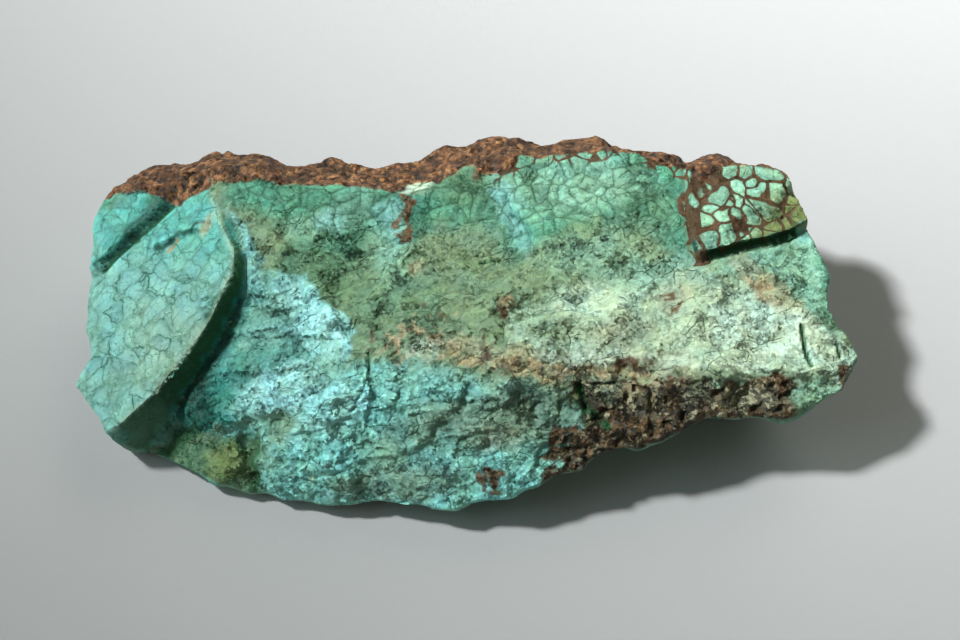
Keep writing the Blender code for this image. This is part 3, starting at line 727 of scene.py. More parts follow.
@dataclass
class Colouring:
    """Where each colour lies on the stone, each over those before it."""

    layers: tuple[Ground | Stain | Vein, ...] = (
        Ground(Zone.UPPER, Tint.JADE),
        Ground(Zone.RIGHT, Tint.PALE),
        # right of the diagonal crest and across the middle
        Stain(-16.0, 4.5, 8.0, 4.5, 50, Tint.OLIVE, 0.9),
        Stain(-9.0, -0.5, 7.0, 5.0, 0, Tint.OLIVE, 0.5),
        Stain(-8.5, 4.5, 2.4, 5.0, 10, Tint.MINT, 0.7),
        Stain(-5.0, -5.5, 5.0, 3.0, 10, Tint.BUFF, 0.45),
        Stain(-2.5, -5.5, 2.2, 1.6, 0, Tint.BUFF, 0.5),
        # the far strip
        Stain(-14.5, 7.0, 5.0, 2.2, 0, Tint.JADE, 0.5),
        Stain(-8.3, 8.8, 2.6, 3.0, 20, Tint.CYAN, 0.9),
        Stain(-5.3, 13.2, 2.3, 1.5, 20, Tint.TAN, 0.9),
        Stain(-5.3, 13.2, 2.1, 1.4, 20, Tint.CHALK, 0.75),
        Stain(-1.0, 14.6, 1.6, 1.5, 0, Tint.OLIVE, 0.8),
        Stain(1.5, 12.0, 3.0, 2.0, 0, Tint.OLIVE, 0.5),
        Stain(0.5, 13.0, 2.5, 2.5, 0, Tint.OLIVE, 0.6),
        Stain(4.6, 10.6, 1.6, 3.6, 25, Tint.ICE, 0.42),
        Stain(6.4, 7.2, 1.6, 3.2, 30, Tint.CYAN, 0.6),
        Stain(12.0, 12.8, 9.0, 4.6, 0, Tint.MINT, 0.8),
        Stain(20.0, 9.5, 4.5, 5.5, 0, Tint.FERN, 0.35),
        Stain(-1.5, 12.6, 3.4, 2.4, 0, Tint.OLIVE, 0.7),
        Stain(-18.0, 7.8, 3.4, 2.0, 0, Tint.MINT, 0.55),
        Stain(-15.2, 8.5, 2.4, 1.6, 0, Tint.SKY, 0.85),
        Stain(-12.6, 10.6, 3.6, 3.0, 0, Tint.CYAN, 0.30),
        Stain(14.0, 4.4, 6.0, 3.0, 15, Tint.MINT, 0.45),
        Stain(13.5, 7.4, 2.6, 1.8, 10, Tint.STRAW, 0.4),
        # the right end
        Stain(24.0, 3.2, 3.0, 1.4, 10, Tint.CYAN, 0.5),
        Stain(19.5, 2.0, 4.0, 2.2, 10, Tint.MINT, 0.45),
        Stain(33.0, 4.2, 6.0, 2.6, 20, Tint.MINT, 1.0),
        Stain(38.5, 4.0, 3.0, 6.5, 10, Tint.MINT, 1.0),
        Stain(41.0, 2.0, 1.1, 6.0, 8, Tint.JADE, 0.6),
        Stain(38.4, 8.2, 2.0, 1.6, 20, Tint.CYAN, 0.8),
        Vein(((31.0, 3.8), (34.5, 0.8), (38.0, -2.4)), 1.5, Tint.TAN, 0.6),
        Stain(34.0, 0.5, 2.8, 1.3, -45, Tint.BUFF, 0.5),
        Stain(33.0, -4.5, 7.0, 3.8, 5, Tint.CHALK, 0.75),
        Stain(40.0, -6.0, 5.0, 2.6, -20, Tint.CHALK, 0.45),
        Stain(25.0, -5.0, 5.0, 2.0, 20, Tint.CHALK, 0.3),
        # the near ridge
        Stain(9.5, -4.2, 3.4, 2.4, 10, Tint.FERN, 0.6),
        Stain(17.5, -5.0, 4.0, 2.2, 10, Tint.TAN, 0.5),
        Stain(14.0, -1.6, 5.0, 2.0, 8, Tint.CHALK, 0.35),
        Stain(30.0, -1.5, 5.0, 2.4, 0, Tint.CHALK, 0.28),
        Vein(((-1.0, -6.2), (7.2, -8.8), (15.0, -8.6), (24.0, -8.6)), 1.5, Tint.TAN, 0.6),
        Vein(((0.5, -7.8), (7.2, -9.4), (15.0, -9.2), (21.0, -9.2)), 0.9, Tint.BUFF, 0.45),
        Vein(((9.0, -8.4), (16.0, -8.0), (24.0, -8.2), (33.0, -8.2)), 0.7, Tint.CHALK, 0.6),
        Stain(19.0, -8.4, 2.6, 0.9, 5, Tint.UMBER, 0.5),
        Stain(2.4, -6.5, 0.9, 1.8, 5, Tint.UMBER, 0.4),
        # the lower face
        Ground(Zone.LOWER, Tint.SEA),
        Stain(-4.4, -9.6, 5.0, 1.8, 5, Tint.CYAN, 0.7),
        Stain(-4.6, -6.6, 2.4, 1.4, 5, Tint.CHALK, 0.6),
        Stain(5.0, -13.5, 11.0, 3.2, 6, Tint.SAGE, 0.9),
        Stain(4.0, -15.6, 2.6, 1.6, 10, Tint.TAN, 0.35),
        Stain(-8.0, -18.6, 9.0, 1.8, 0, Tint.SAGE, 0.8),
        Stain(-6.0, -15.0, 6.0, 2.2, 12, Tint.SAGE, 0.6),
        Stain(-8.0, -16.6, 2.4, 1.2, 5, Tint.MINT, 0.5),
        Stain(-16.0, -16.6, 2.0, 0.9, 20, Tint.BUFF, 0.25),
        # between the slab and the crest
        Ground(Zone.BRIGHT, Tint.CYAN),
        Stain(-24.3, 5.4, 1.2, 4.6, 25, Tint.ICE, 0.22, Zone.BRIGHT),
        Stain(-33.0, -3.5, 6.5, 3.4, -40, Tint.PALE, 0.25),
        Stain(-35.5, -6.5, 4.5, 3.4, -40, Tint.PALE, 0.25),
        Stain(-15.6, -4.4, 3.9, 3.0, -20, Tint.ICE, 0.80, Zone.BRIGHT),
        Stain(-18.5, -0.5, 3.4, 2.2, -30, Tint.ICE, 0.50, Zone.BRIGHT),
        # painted shade: the recess beside the top of the slab's lip
        Stain(-26.8, 7.2, 2.4, 0.8, -66, Tint.TEAL, 0.8),
        # painted shadow of the slab along its wall's foot, down to the moss patch
        Vein(((-27.6, -1.0), (-29.6, -5.0), (-30.8, -8.6), (-27.4, -11.8)), 3.0, Tint.TEAL, 0.9, Zone.BRIGHT),
        Vein(((-27.0, -1.0), (-29.6, -6.0), (-33.6, -10.2)), 1.6, Tint.ABYSS, 0.95, Zone.BRIGHT),
        Vein(((-30.6, -8.0), (-30.0, -11.6)), 1.6, Tint.ABYSS, 0.8, Zone.BRIGHT),
        Stain(-33.0, -13.0, 3.6, 1.2, 15, Tint.MOSS, 0.9),
        Stain(-21.5, -9.8, 5.5, 2.6, 10, Tint.ICE, 0.80),
        Stain(-15.5, -12.2, 6.0, 2.6, 5, Tint.ICE, 0.50),
        Stain(-20.8, -6.2, 5.2, 1.5, 0, Tint.TEAL, 0.45, Zone.BRIGHT),
        Stain(-26.2, -8.0, 2.1, 3.2, -30, Tint.TEAL, 0.65, Zone.BRIGHT),
        Ground(Zone.CORNER, Tint.OLIVE),
        Stain(-24.4, -15.6, 4.0, 2.0, 0, Tint.STRAW, 0.45),
        Stain(-26.6, -16.4, 1.8, 0.9, -20, Tint.MOSS, 0.7),
        Stain(-25.6, -14.8, 2.4, 1.3, 0, Tint.MOSS, 0.25),
        Stain(-27.5, -15.5, 3.0, 1.2, -20, Tint.STRAW, 0.6),
        Stain(-21.0, -13.4, 2.0, 1.4, 0, Tint.STRAW, 0.6),
        Stain(-23.6, -16.6, 0.9, 2.2, 10, Tint.MOSS, 0.8),
        # under the near ridge
        Ground(Zone.UNDER, Tint.UMBER),
        Stain(15.4, -11.0, 2.4, 1.4, 0, Tint.SAGE, 0.75),
        Stain(20.0, -11.4, 2.4, 1.2, 0, Tint.TAN, 0.5),
        Stain(32.0, -10.9, 3.4, 1.0, 0, Tint.TAN, 0.6),
        Stain(25.6, -10.8, 1.7, 0.9, 0, Tint.SAGE, 0.5),
        # painted shade of a small hole
        Stain(24.4, -12.0, 2.0, 1.0, 10, Tint.PITCH, 0.85),
        Stain(29.5, -11.2, 2.4, 0.7, 0, Tint.TAN, 0.6),
        Stain(39.0, -10.4, 3.2, 1.2, 10, Tint.MINT, 0.7),
        Stain(10.7, -15.6, 3.0, 1.7, 30, Tint.UMBER, 0.9),
        Stain(11.2, -15.6, 1.0, 0.8, 30, Tint.PITCH, 0.6),
        Stain(3.2, -19.0, 2.4, 1.0, 20, Tint.UMBER, 0.7),
        Stain(13.0, -12.6, 0.8, 1.4, 30, Tint.MOSS, 0.8),
        # the slab's grooves: their dark teal is partly their own colour and partly painted shade
        Vein(((-42.6, 6.8), (-41.3, 7.9), (-38.2, 10.2)), 0.60, Tint.TEAL, 0.7),
        Vein(((-41.0, 9.6), (-38.2, 11.4), (-36.4, 12.6)), 0.90, Tint.TEAL, 0.5),
        Vein(((-42.6, 6.5), (-41.3, 7.6), (-38.2, 9.8)), 0.34, Tint.ABYSS, 0.85),
        Vein(((-38.6, 9.8), (-36.5, 11.0), (-35.0, 12.1), (-33.8, 13.4)), 0.85, Tint.ABYSS, 0.95),
        Vein(((-36.0, 7.5), (-34.5, 7.8), (-32.3, 8.2), (-29.8, 8.5)), 0.28, Tint.ABYSS, 0.8),
        Vein(((-34.0, 6.9), (-33.3, 7.7)), 0.35, Tint.BUFF, 0.6),
        # small brown spots and veins
        Stain(43.6, -8.9, 1.7, 1.9, 60, Tint.UMBER, 1.0),
        Stain(-5.4, 3.2, 1.4, 1.0, 0, Tint.TAN, 0.5),
        Stain(-5.4, 3.2, 1.0, 0.8, 0, Tint.RUST, 0.9),
        Stain(-5.3, -1.0, 1.0, 0.6, 0, Tint.RUST, 0.9),
        Stain(4.5, -1.6, 1.6, 1.7, 0, Tint.BUFF, 0.35),
        Stain(4.5, -1.6, 1.2, 1.5, 0, Tint.RUST, 0.9),
        Stain(23.2, -0.8, 2.2, 2.4, 0, Tint.TAN, 0.5),
        Stain(23.2, -1.0, 1.2, 1.9, 0, Tint.RUST, 0.95),
        Stain(-7.4, 7.2, 1.0, 0.9, 0, Tint.RUST, 0.9),
        Stain(-29.4, 8.4, 0.7, 1.3, -10, Tint.TAN, 0.7),
        Stain(-29.3, 8.4, 0.6, 1.0, -10, Tint.RUST, 0.6),
        Stain(-28.6, 12.6, 0.8, 2.2, 0, Tint.OLIVE, 0.6),
        Stain(-41.0, 14.2, 2.4, 0.9, 10, Tint.OLIVE, 0.6),
        Stain(-36.0, 13.0, 1.2, 1.2, 10, Tint.MOSS, 0.8),
        Vein(((-6.9, 11.8), (-6.0, 9.2), (-6.5, 6.9)), 0.35, Tint.BARK, 0.9),
        Vein(((-6.4, 9.6), (-7.8, 7.7)), 0.3, Tint.BARK, 0.6),
        Vein(((-10.6, -6.6), (-11.0, -4.5)), 0.3, Tint.RUST, 0.5),
    )
    ragged: tuple[Tint, ...] = (Tint.RUST, Tint.UMBER, Tint.BARK, Tint.PITCH, Tint.BUFF)
    wander: float = 0.0013
    lip_reach: float = 0.0005
    crack_depths: tuple[float, float] = (0.00010, 0.00026)

    def tints(self, points: Points, normals: Points, form: StoneForm, cracks: tuple[Trough, ...]) -> Points:
        """Gives each point of the skin its ground colour, with painted shade in the cracks and on the walls.

        Args:
            points: The skin's points before the relief is raised.
            normals: The way each point faces.
            form: The stone's form.
            cracks: The cracks, which get painted shade inside.

        Returns:
            The red, green and blue shares of each point.
        """
        wandered = (points[:, :2] + swirl(points, 0.0016, 0.0007, (1, 2)) * self.wander).T
        coat = Coat(len(points), Tint.FERN)
        self.lay_face(coat, points, wandered, form.face.slab_ledge)
        self.lay_cap(coat, points, wandered, form.face.cap_ledge)
        # painted shade inside the cracks, by their depth
        depth = sum(crack.depth_at(*points[:, :2].T) for crack in cracks)
        coat.lay(smooth_step(*self.crack_depths, depth) * 0.9, Tint.MOSS)
        self.lay_hidden(coat, points, normals)
        return coat.colour

    def lay_face(self, coat: Coat, points: Points, wandered: Points, ledge: Ledge) -> None:
        """Colours the slab and the rest of the broken face, and paints shade on the slab's wall.

        Args:
            coat: The colour so far.
            points: The skin's points.
            wandered: Their X and Y, with an uneven shift that makes borders ragged.
            ledge: The slab's edge.
        """
        x, y, _ = points.T
        drift = clouds(points, 0.0060, 3)
        fine = clouds(points, 0.0006, 18)
        branches = smooth_step(0.16, 0.05, np.abs(clouds(points, 0.0008, 22) - 0.5))
        slab = ledge.share(x, y)
        on_slab = smooth_step(0.94, 0.99, slab)
        coat.lay(on_slab, Tint.SKY)
        coat.lay(on_slab * smooth_step(0.002, 0.011, y + 0.4 * (x + 0.035)), Tint.AQUA)
        for layer in self.layers:
            share = layer.share(*wandered) * (0.8 + 0.4 * drift) * (1.0 - on_slab * isinstance(layer, Ground))
            if layer.tint in self.ragged:
                share = smooth_step(0.25, 0.60, share + 0.9 * (fine - 0.5) * (share > 0.02))
            if layer.tint is Tint.RUST:
                share = share * (0.10 + 0.90 * branches)
            coat.lay(share, layer.tint)
        # painted shade on the slab's wall: teal, darkening to moss towards the lip
        painted_wall_shade = smooth_step(0.02, 0.10, slab) * (1.0 - on_slab) * smooth_step(0.0075, 0.0055, y)
        coat.lay(painted_wall_shade * 0.8, Tint.TEAL)
        coat.lay(painted_wall_shade * smooth_step(0.10, 0.35, slab + 0.5 * (fine - 0.5)), Tint.MOSS)
        coat.lay(on_slab * 0.55 * ledge.near(x, y, self.lip_reach), Tint.PALE)

    def lay_cap(self, coat: Coat, points: Points, wandered: Points, ledge: Ledge) -> None:
        """Colours the cap, which turns yellow at its tip, and paints shade on its wall, darkest near the middle.

        Args:
            coat: The colour so far.
            points: The skin's points.
            wandered: Their X and Y, with an uneven shift that makes borders ragged.
            ledge: The cap's edge.
        """
        x, y = wandered
        cap = ledge.share(x, y)
        coat.lay(cap, Tint.MINT)
        coat.lay(cap * smooth_step(0.0325, 0.0365, x + 0.6 * (0.010 - y)), Tint.STRAW)
        wall = ledge.share(points[:, 0], points[:, 1])
        # painted shade on the cap's wall: teal, and near black towards the middle
        painted_wall_shade = smooth_step(0.05, 0.20, wall) * smooth_step(0.97, 0.85, wall) * (points[:, 1] < 0.0115)
        coat.lay(painted_wall_shade * smooth_step(0.039, 0.033, x), Tint.TEAL)
        dark = wall + 0.7 * (clouds(points, 0.0060, 3) - 0.5) + 0.3 - 0.9 * smooth_step(0.031, 0.036, x)
        coat.lay(painted_wall_shade * smooth_step(0.35, 0.60, dark), Tint.ABYSS)

    def lay_hidden(self, coat: Coat, points: Points, normals: Points) -> None:
        """Colours the flanks and the underside.

        Args:
            coat: The colour so far.
            points: The skin's points.
            normals: The way each point faces.
        """
        hidden = smooth_step(0.35, 0.0, normals[:, 2])
        coat.lay(hidden * 0.9, Tint.MINT)
        coat.lay(hidden * smooth_step(0.45, 0.65, clouds(points, 0.0060, 3)), Tint.SAGE)
        coat.lay(hidden * smooth_step(0.55, 0.3, clouds(points, 0.004, 8)) * 0.7, Tint.AQUA)


# --- finishes ------------------------------------------------------------------------------------


class Number:
    """A number of a shader. Arithmetic on it adds Math nodes."""

    def __init__(self, finish: "Finish", socket: bpy.types.NodeSocket) -> None:
        """Wraps a socket."""
        self.finish = finish
        self.socket = socket

    def join(self, operation: str, *others: "Number | float", flip: bool = False) -> "Number":
        """Adds a Math node.

        Args:
            operation: What the node does.
            others: The numbers that it takes after this one.
            flip: Whether this number comes last instead.

        Returns:
            The node's result.
        """
        values = [self, *others]
        if flip:
            values.reverse()
        node = self.finish.node("ShaderNodeMath", {"operation": operation}, dict(enumerate(values)))
        return Number(self.finish, node.outputs[0])

    def __add__(self, other: "Number | float") -> "Number":
        """The sum."""
        return self.join("ADD", other)

    def __sub__(self, other: "Number | float") -> "Number":
        """The difference."""
        return self.join("SUBTRACT", other)

    def __rsub__(self, other: float) -> "Number":
        """The difference, the other way round."""
        return self.join("SUBTRACT", other, flip=True)

    def __mul__(self, other: "Number | float") -> "Number":
        """The product."""
        return self.join("MULTIPLY", other)

    def __truediv__(self, other: "Number | float") -> "Number":
        """The quotient."""
        return self.join("DIVIDE", other)

    __radd__ = __add__
    __rmul__ = __mul__

    def at_least(self, other: "Number | float") -> "Number":
        """The larger of the two."""
        return self.join("MAXIMUM", other)

    def at_most(self, other: "Number | float") -> "Number":
        """The smaller of the two."""
        return self.join("MINIMUM", other)

    def step(self, low: "Number | float", high: "Number | float") -> "Number":
        """0 at low, 1 at high, with an even curve between. low may be the larger."""
        share = ((self - low) / (high - low)).at_least(0.0).at_most(1.0)
        return share * share * (3.0 - 2.0 * share)


class Finish:
    """A material whose nodes are added one at a time."""

    def __init__(self, name: str) -> None:
        """Makes an empty material with its surface shader."""
        self.material = bpy.data.materials.new(name)
        self.material.use_nodes = True
        self.tree = self.material.node_tree
        self.shader = self.tree.nodes["Principled BSDF"]

    def node(self, kind: str, settings: dict[str, object], values: dict[int | str, object]) -> bpy.types.Node:
        """Adds a node.

        Args:
            kind: The node's type.
            settings: Its settings, which are set first.
            values: The values or links of its sockets.

        Returns:
            The node.
        """
        made = self.tree.nodes.new(kind)
        for name, value in settings.items():
            setattr(made, name, value)
        for key, value in values.items():
            self.feed(made.inputs[key], value)
        return made

    def feed(self, socket: bpy.types.NodeSocket, value: object) -> None:
        """Links a socket or sets its value.

        Args:
            socket: The socket.
            value: A number of the shader, another socket, or a plain value.
        """
        value = value.socket if isinstance(value, Number) else value
        if isinstance(value, bpy.types.NodeSocket):
            self.tree.links.new(value, socket)
        else:
            socket.default_value = value

    def dress(self, **values: object) -> None:
        """Feeds the surface shader's sockets, with _ in their names for spaces."""
        for name, value in values.items():
            self.feed(self.shader.inputs[name.replace("_", " ")], value)

    def read(self, name: str, output: str) -> bpy.types.NodeSocket:
        """A vector or colour that the piece's mesh holds at each point."""
        return self.node("ShaderNodeAttribute", {"attribute_name": name}, {}).outputs[output]

    def attribute(self, name: str) -> Number:
        """A number that the piece's mesh holds at each point."""
        return Number(self, self.read(name, "Fac"))

    def plain_place(self) -> bpy.types.NodeSocket:
        """Each point's place on the piece."""
        return self.node("ShaderNodeTexCoord", {}, {}).outputs["Object"]

    def cells(self, place: object, scale: float, feature: str = "F1") -> bpy.types.Node:
        """Cells, so many to a metre."""
        settings = {"voronoi_dimensions": "3D", "feature": feature}
        return self.node("ShaderNodeTexVoronoi", settings, {"Vector": place, "Scale": scale})

    def edges(self, place: object, scale: float) -> Number:
        """The distance to the edge of a cell, as a share of its size."""
        return Number(self, self.cells(place, scale, "DISTANCE_TO_EDGE").outputs["Distance"])

    def cloud(self, place: object, scale: float, detail: float, roughness: float) -> bpy.types.Node:
        """Cloudy noise from 0 to 1, so many clouds to a metre."""
        values = {"Vector": place, "Scale": scale, "Detail": detail, "Roughness": roughness}
        return self.node("ShaderNodeTexNoise", {"noise_dimensions": "3D"}, values)

    def noise(self, place: object, scale: float, detail: float, roughness: float = 0.6) -> Number:
        """The number that cloudy noise gives."""
        return Number(self, self.cloud(place, scale, detail, roughness).outputs[0])

    def vector(self, operation: str, *values: object) -> bpy.types.NodeSocket:
        """The vector that a new Vector Math node gives."""
        node = self.node("ShaderNodeVectorMath", {"operation": operation}, dict(enumerate(values)))
        return node.outputs["Vector"]

    def dot(self, first: object, second: object) -> Number:
        """The dot product of two vectors."""
        node = self.node("ShaderNodeVectorMath", {"operation": "DOT_PRODUCT"}, {0: first, 1: second})
        return Number(self, node.outputs["Value"])

    def channel(self, colour: object, number: int) -> Number:
        """The red, green or blue of a colour, as numbers 0, 1 and 2."""
        return self.dot(colour, tuple(float(number == axis) for axis in range(3)))

    def mix(
        self, share: Number | float, first: object, second: object, blend: str = "MIX"
    ) -> bpy.types.NodeSocket:
        """Mixes two colours.

        Args:
            share: How much of the second colour shows.
            first: The first colour.
            second: The second colour.
            blend: How the second colour goes over the first.

        Returns:
            The mixed colour.
        """
        first, second = (colour + (1.0,) if isinstance(colour, tuple) else colour for colour in (first, second))
        settings = {"data_type": "RGBA", "blend_type": blend, "clamp_factor": True}
        return self.node("ShaderNodeMix", settings, {0: share, 6: first, 7: second}).outputs[2]

    def stained(self, share: Number, colour: object, stain: Triple) -> bpy.types.NodeSocket:
        """A colour multiplied by another where the share is 1."""
        return self.mix(share, colour, self.mix(1.0, colour, stain, "MULTIPLY"))

    def scaled(self, colour: object, amount: Number) -> bpy.types.NodeSocket:
        """A colour or vector times a number."""
        node = self.node("ShaderNodeVectorMath", {"operation": "SCALE"}, {"Vector": colour, "Scale": amount})
        return node.outputs["Vector"]

    def bump(self, height: Number, distance: float = 1.0, strength: float = 1.0) -> bpy.types.NodeSocket:
        """The normal of a surface that stands up by the height times the distance."""
        values = {"Strength": strength, "Distance": distance, "Height": height}
        return self.node("ShaderNodeBump", {}, values).outputs["Normal"]


@dataclass(frozen=True)
class StoneFinish:
    """Turquoise with dark webs between its cells, painted shade in its hollows and along the small flakes' edges,
    painted highlights on its small crests, and a grainy brown rind.

    The scales say how many cells or clouds a metre holds. Rises and depths are in metres.
    """

    cells: float = 430.0
    nodules: float = 500.0
    small_cells: float = 800.0
    flakes: float = 620.0
    crumbs: float = 1300.0
    pebbles: float = 1500.0
    dust: float = 3300.0
    grains: float = 1900.0
    rind_grains: float = 1700.0
    wave_scale: float = 1300.0
    mottle_scale: float = 650.0
    drift_scale: float = 170.0
    warm_scale: float = 330.0
    nick_scale: float = 480.0
    speckle_scale: float = 1500.0
    cell_waves: float = 0.0009
    flake_waves: float = 0.0004
    flake_rise: float = 0.00028
    crumb_rise: float = 0.00018
    dust_rise: float = 0.00004
    mottle_rise: float = 0.00008
    rind_rise: float = 0.0003
    line_depth: float = 0.00004
    nick_depth: float = 0.00008
    tone_strength: float = 0.45
    nick_shade_strength: float = 0.70
    hollow_shade_strength: float = 0.45
    halo_strength: float = 0.40
    crest_highlight: float = 0.35
    specular: float = 0.35
    warm_tone: Triple = (1.14, 0.98, 0.78)
    cool_tone: Triple = (0.88, 1.02, 1.16)
    web_colour: Triple = (0.035, 0.160, 0.110)
    seam_colour: Triple = (0.035, 0.120, 0.065)
    matrix_colour: Triple = (0.060, 0.036, 0.014)
    halo_and_hollow_shade_colour: Triple = (0.180, 0.340, 0.240)
    nick_shade_colour: Triple = (0.240, 0.330, 0.220)
    umber_grain: Triple = (0.060, 0.028, 0.012)

    def make(self) -> bpy.types.Material:
        """Makes the material."""
        finish = Finish("turquoise_stone")
        reads = StoneReads(finish, self)
        line, nick = self.line(reads), self.nick(reads)
        colour = self.gritty(reads, self.webbed(reads, self.turquoise(reads), line, nick))
        finish.dress(
            Base_Color=finish.mix(reads.rind, colour, self.husk(reads)),
            Roughness=0.50 + 0.25 * reads.mottle + 0.15 * reads.hollow_shade,
            Specular_IOR_Level=self.specular,
            Normal=finish.bump(self.height(reads, line, nick)),
        )
        return finish.material

    def line(self, reads: "StoneReads") -> Number:
        """Finds the dark lines between the turquoise's cells.

        Args:
            reads: What the finish reads.

        Returns:
            How much of the lines shows.
        """
        mottle = reads.mottle
        large = reads.edge.step(0.030 + 0.05 * reads.drift, 0.002) * mottle.step(0.38, 0.58)
        small = reads.finish.edges(reads.wavy, self.small_cells).step(0.06, 0.0)
        small = small * mottle.step(0.45, 0.62) * 0.8
        return (large * (0.35 + reads.warm.step(0.56, 0.46))).at_least(small) * reads.web

    def nick(self, reads: "StoneReads") -> Number:
        """Finds the small flakes' edges, which get painted shade.

        Args:
            reads: What the finish reads.

        Returns:
            How much of the edges shows.
        """
        nick = reads.finish.edges(reads.rippled, self.flakes).step(0.045, 0.0)
        nick = nick * reads.finish.noise(reads.flow, self.nick_scale, 2.0).step(0.50, 0.60)
        return nick * (0.25 + reads.crumb).at_most(1.0)

    def turquoise(self, reads: "StoneReads") -> bpy.types.NodeSocket:
        """Varies the ground colour in cloudy tones and from cell to cell.

        Args:
            reads: What the finish reads.

        Returns:
            The colour.
        """
        finish = reads.finish
        cell = finish.channel(finish.cells(reads.place, self.cells).outputs["Color"], 0)
        nodule = finish.channel(reads.nodule.outputs["Color"], 0)
        colour = finish.scaled(reads.tint, 0.66 + 0.70 * reads.mottle)
        colour = finish.scaled(colour, 1.0 + reads.web * (0.30 * cell - 0.15))
        colour = finish.stained(reads.warm.step(0.46, 0.62) * self.tone_strength, colour, self.warm_tone)
        colour = finish.stained(reads.warm.step(0.50, 0.36) * self.tone_strength, colour, self.cool_tone)
        return finish.scaled(colour, 1.0 + reads.nodular * (0.36 * nodule - 0.16))

    def webbed(self, reads: "StoneReads", colour: object, line: Number, nick: Number) -> bpy.types.NodeSocket:
        """Lays the webs, painted shade along the nicks, seams, painted shade in hollows and painted highlights on
        small crests, and the brown between the nodules.

        Args:
            reads: What the finish reads.
            colour: The colour so far.
            line: How much of the lines between cells shows.
            nick: How much of the flakes' edges shows.

        Returns:
            The colour with them.
        """
        finish, mottle, matrix = reads.finish, reads.mottle, reads.matrix
        colour = finish.mix(line.at_most(0.9), colour, self.web_colour)
        halo = reads.edge.step(0.20, 0.0) * reads.web * self.halo_strength
        colour = finish.stained(halo, colour, self.halo_and_hollow_shade_colour)
        # painted shade along the small flakes' edges
        colour = finish.stained(nick * self.nick_shade_strength, colour, self.nick_shade_colour)
        seam = reads.rim.step(0.09, 0.0) * reads.nodular * (0.30 + 1.1 * reads.drift * mottle.step(0.30, 0.60))
        colour = finish.mix(seam.at_most(0.8), colour, self.seam_colour)
        # painted shade: the colour darkens in the skin's hollows
        colour = finish.stained(reads.hollow_shade * self.hollow_shade_strength, colour, self.halo_and_hollow_shade_colour)
        # painted highlight: the small crests are lightened
        crest = (reads.hollow * -1.0).at_least(0.0).at_most(1.0)
        colour = finish.scaled(colour, 1.0 + self.crest_highlight * crest)
        wide = matrix * (0.10 + 0.50 * mottle)
        rounded = Number(finish, reads.nodule.outputs["Distance"]).step(0.45, 0.75)
        brown = (reads.rim - 0.06 * rounded).step(wide, wide * 0.30)
        lost = finish.channel(reads.nodule.outputs["Color"], 2) - 0.40 * matrix
        brown = brown.at_least(lost.step(0.02, -0.01)) * matrix.step(0.02, 0.10)
        earth = finish.mix(mottle.step(0.42, 0.80) * 0.7, self.matrix_colour, Tint.BARK.value)
        return finish.mix(brown, colour, earth)

    def gritty(self, reads: "StoneReads", colour: object) -> bpy.types.NodeSocket:
        """Lays pale pebbles, and dark specks that are painted shade of small holes.

        Args:
            reads: What the finish reads.
            colour: The colour so far.

        Returns:
            The colour with the pebbles.
        """
        finish = reads.finish
        pebble = finish.cells(reads.wavy, self.pebbles).outputs["Color"]
        pale = finish.channel(pebble, 0).step(0.76, 0.84) * 0.80
        # dark pebbles: painted shade of small holes
        dark = finish.channel(pebble, 1).step(0.46, 0.34) * 0.85
        colour = finish.mix(reads.grit * pale, colour, Tint.TAN.value)
        return finish.mix(reads.grit * dark, colour, Tint.PITCH.value)

    def husk(self, reads: "StoneReads") -> bpy.types.NodeSocket:
        """Colours the rind, grain by grain, with painted shade in its hollows.

        Args:
            reads: What the finish reads.

        Returns:
            The colour.
        """
        finish = reads.finish
        grain = finish.channel(finish.cells(reads.plain, self.grains).outputs["Color"], 1)
        speckle = finish.noise(reads.plain, self.speckle_scale, 6.0)
        pink = (grain * 0.6 + reads.mottle * 0.8).step(0.85, 1.05) * 0.55
        light = (0.46 + 1.1 * speckle.step(0.34, 0.66)) * (0.50 + 0.85 * reads.warm.step(0.38, 0.60))
        husk = finish.mix((grain * 0.5 + speckle).step(0.85, 0.45), Tint.BARK.value, self.umber_grain)
        husk = finish.scaled(finish.mix(pink, husk, Tint.PINK.value), light)
        # painted shade: the rind's hollows go near black
        return finish.mix(reads.hollow_shade * 0.9, husk, Tint.PITCH.value)

    def leaning(self, finish: Finish, place: object, scale: float, rise: float) -> Number:
        """Makes small cells that each lean their own way, at their own height.

        Args:
            finish: The material.
            place: Where to read them.
            scale: How many cells a metre holds.
            rise: How far apart their heights may be.

        Returns:
            Their height in metres.
        """
        cells = finish.cells(place, scale)
        offset = finish.vector("SUBTRACT", place, cells.outputs["Position"])
        lean = finish.vector("SUBTRACT", cells.outputs["Color"], (0.5, 0.5, 0.5))
        return finish.dot(offset, lean) + finish.dot(cells.outputs["Color"], (0.0, 0.0, rise))

    def height(self, reads: "StoneReads", line: Number, nick: Number) -> Number:
        """Works out the finest relief: flakes, crumbs, dust, the rind's grains, lines and nicks.

        Args:
            reads: What the finish reads.
            line: How much of the lines between cells shows.
            nick: How much of the flakes' edges shows.

        Returns:
            The height in metres.
        """
        finish, crumb = reads.finish, reads.crumb
        broken = 1.0 - 0.75 * reads.rind
        flakes = self.leaning(finish, reads.rippled, self.flakes, self.flake_rise)
        crumbs = self.leaning(finish, reads.rippled, self.crumbs, self.crumb_rise)
        dust = self.leaning(finish, reads.plain, self.dust, self.dust_rise)
        grains = self.leaning(finish, reads.plain, self.rind_grains, self.rind_rise)
        height = flakes * (0.10 + crumb * 0.62) * broken + crumbs * (0.14 + crumb * 0.68) * broken
        height = height + dust * (0.45 + 0.55 * crumb) + (reads.mottle - 0.5) * self.mottle_rise * (crumb + 0.3)
        return height + grains * reads.rind - line * self.line_depth - nick * self.nick_depth


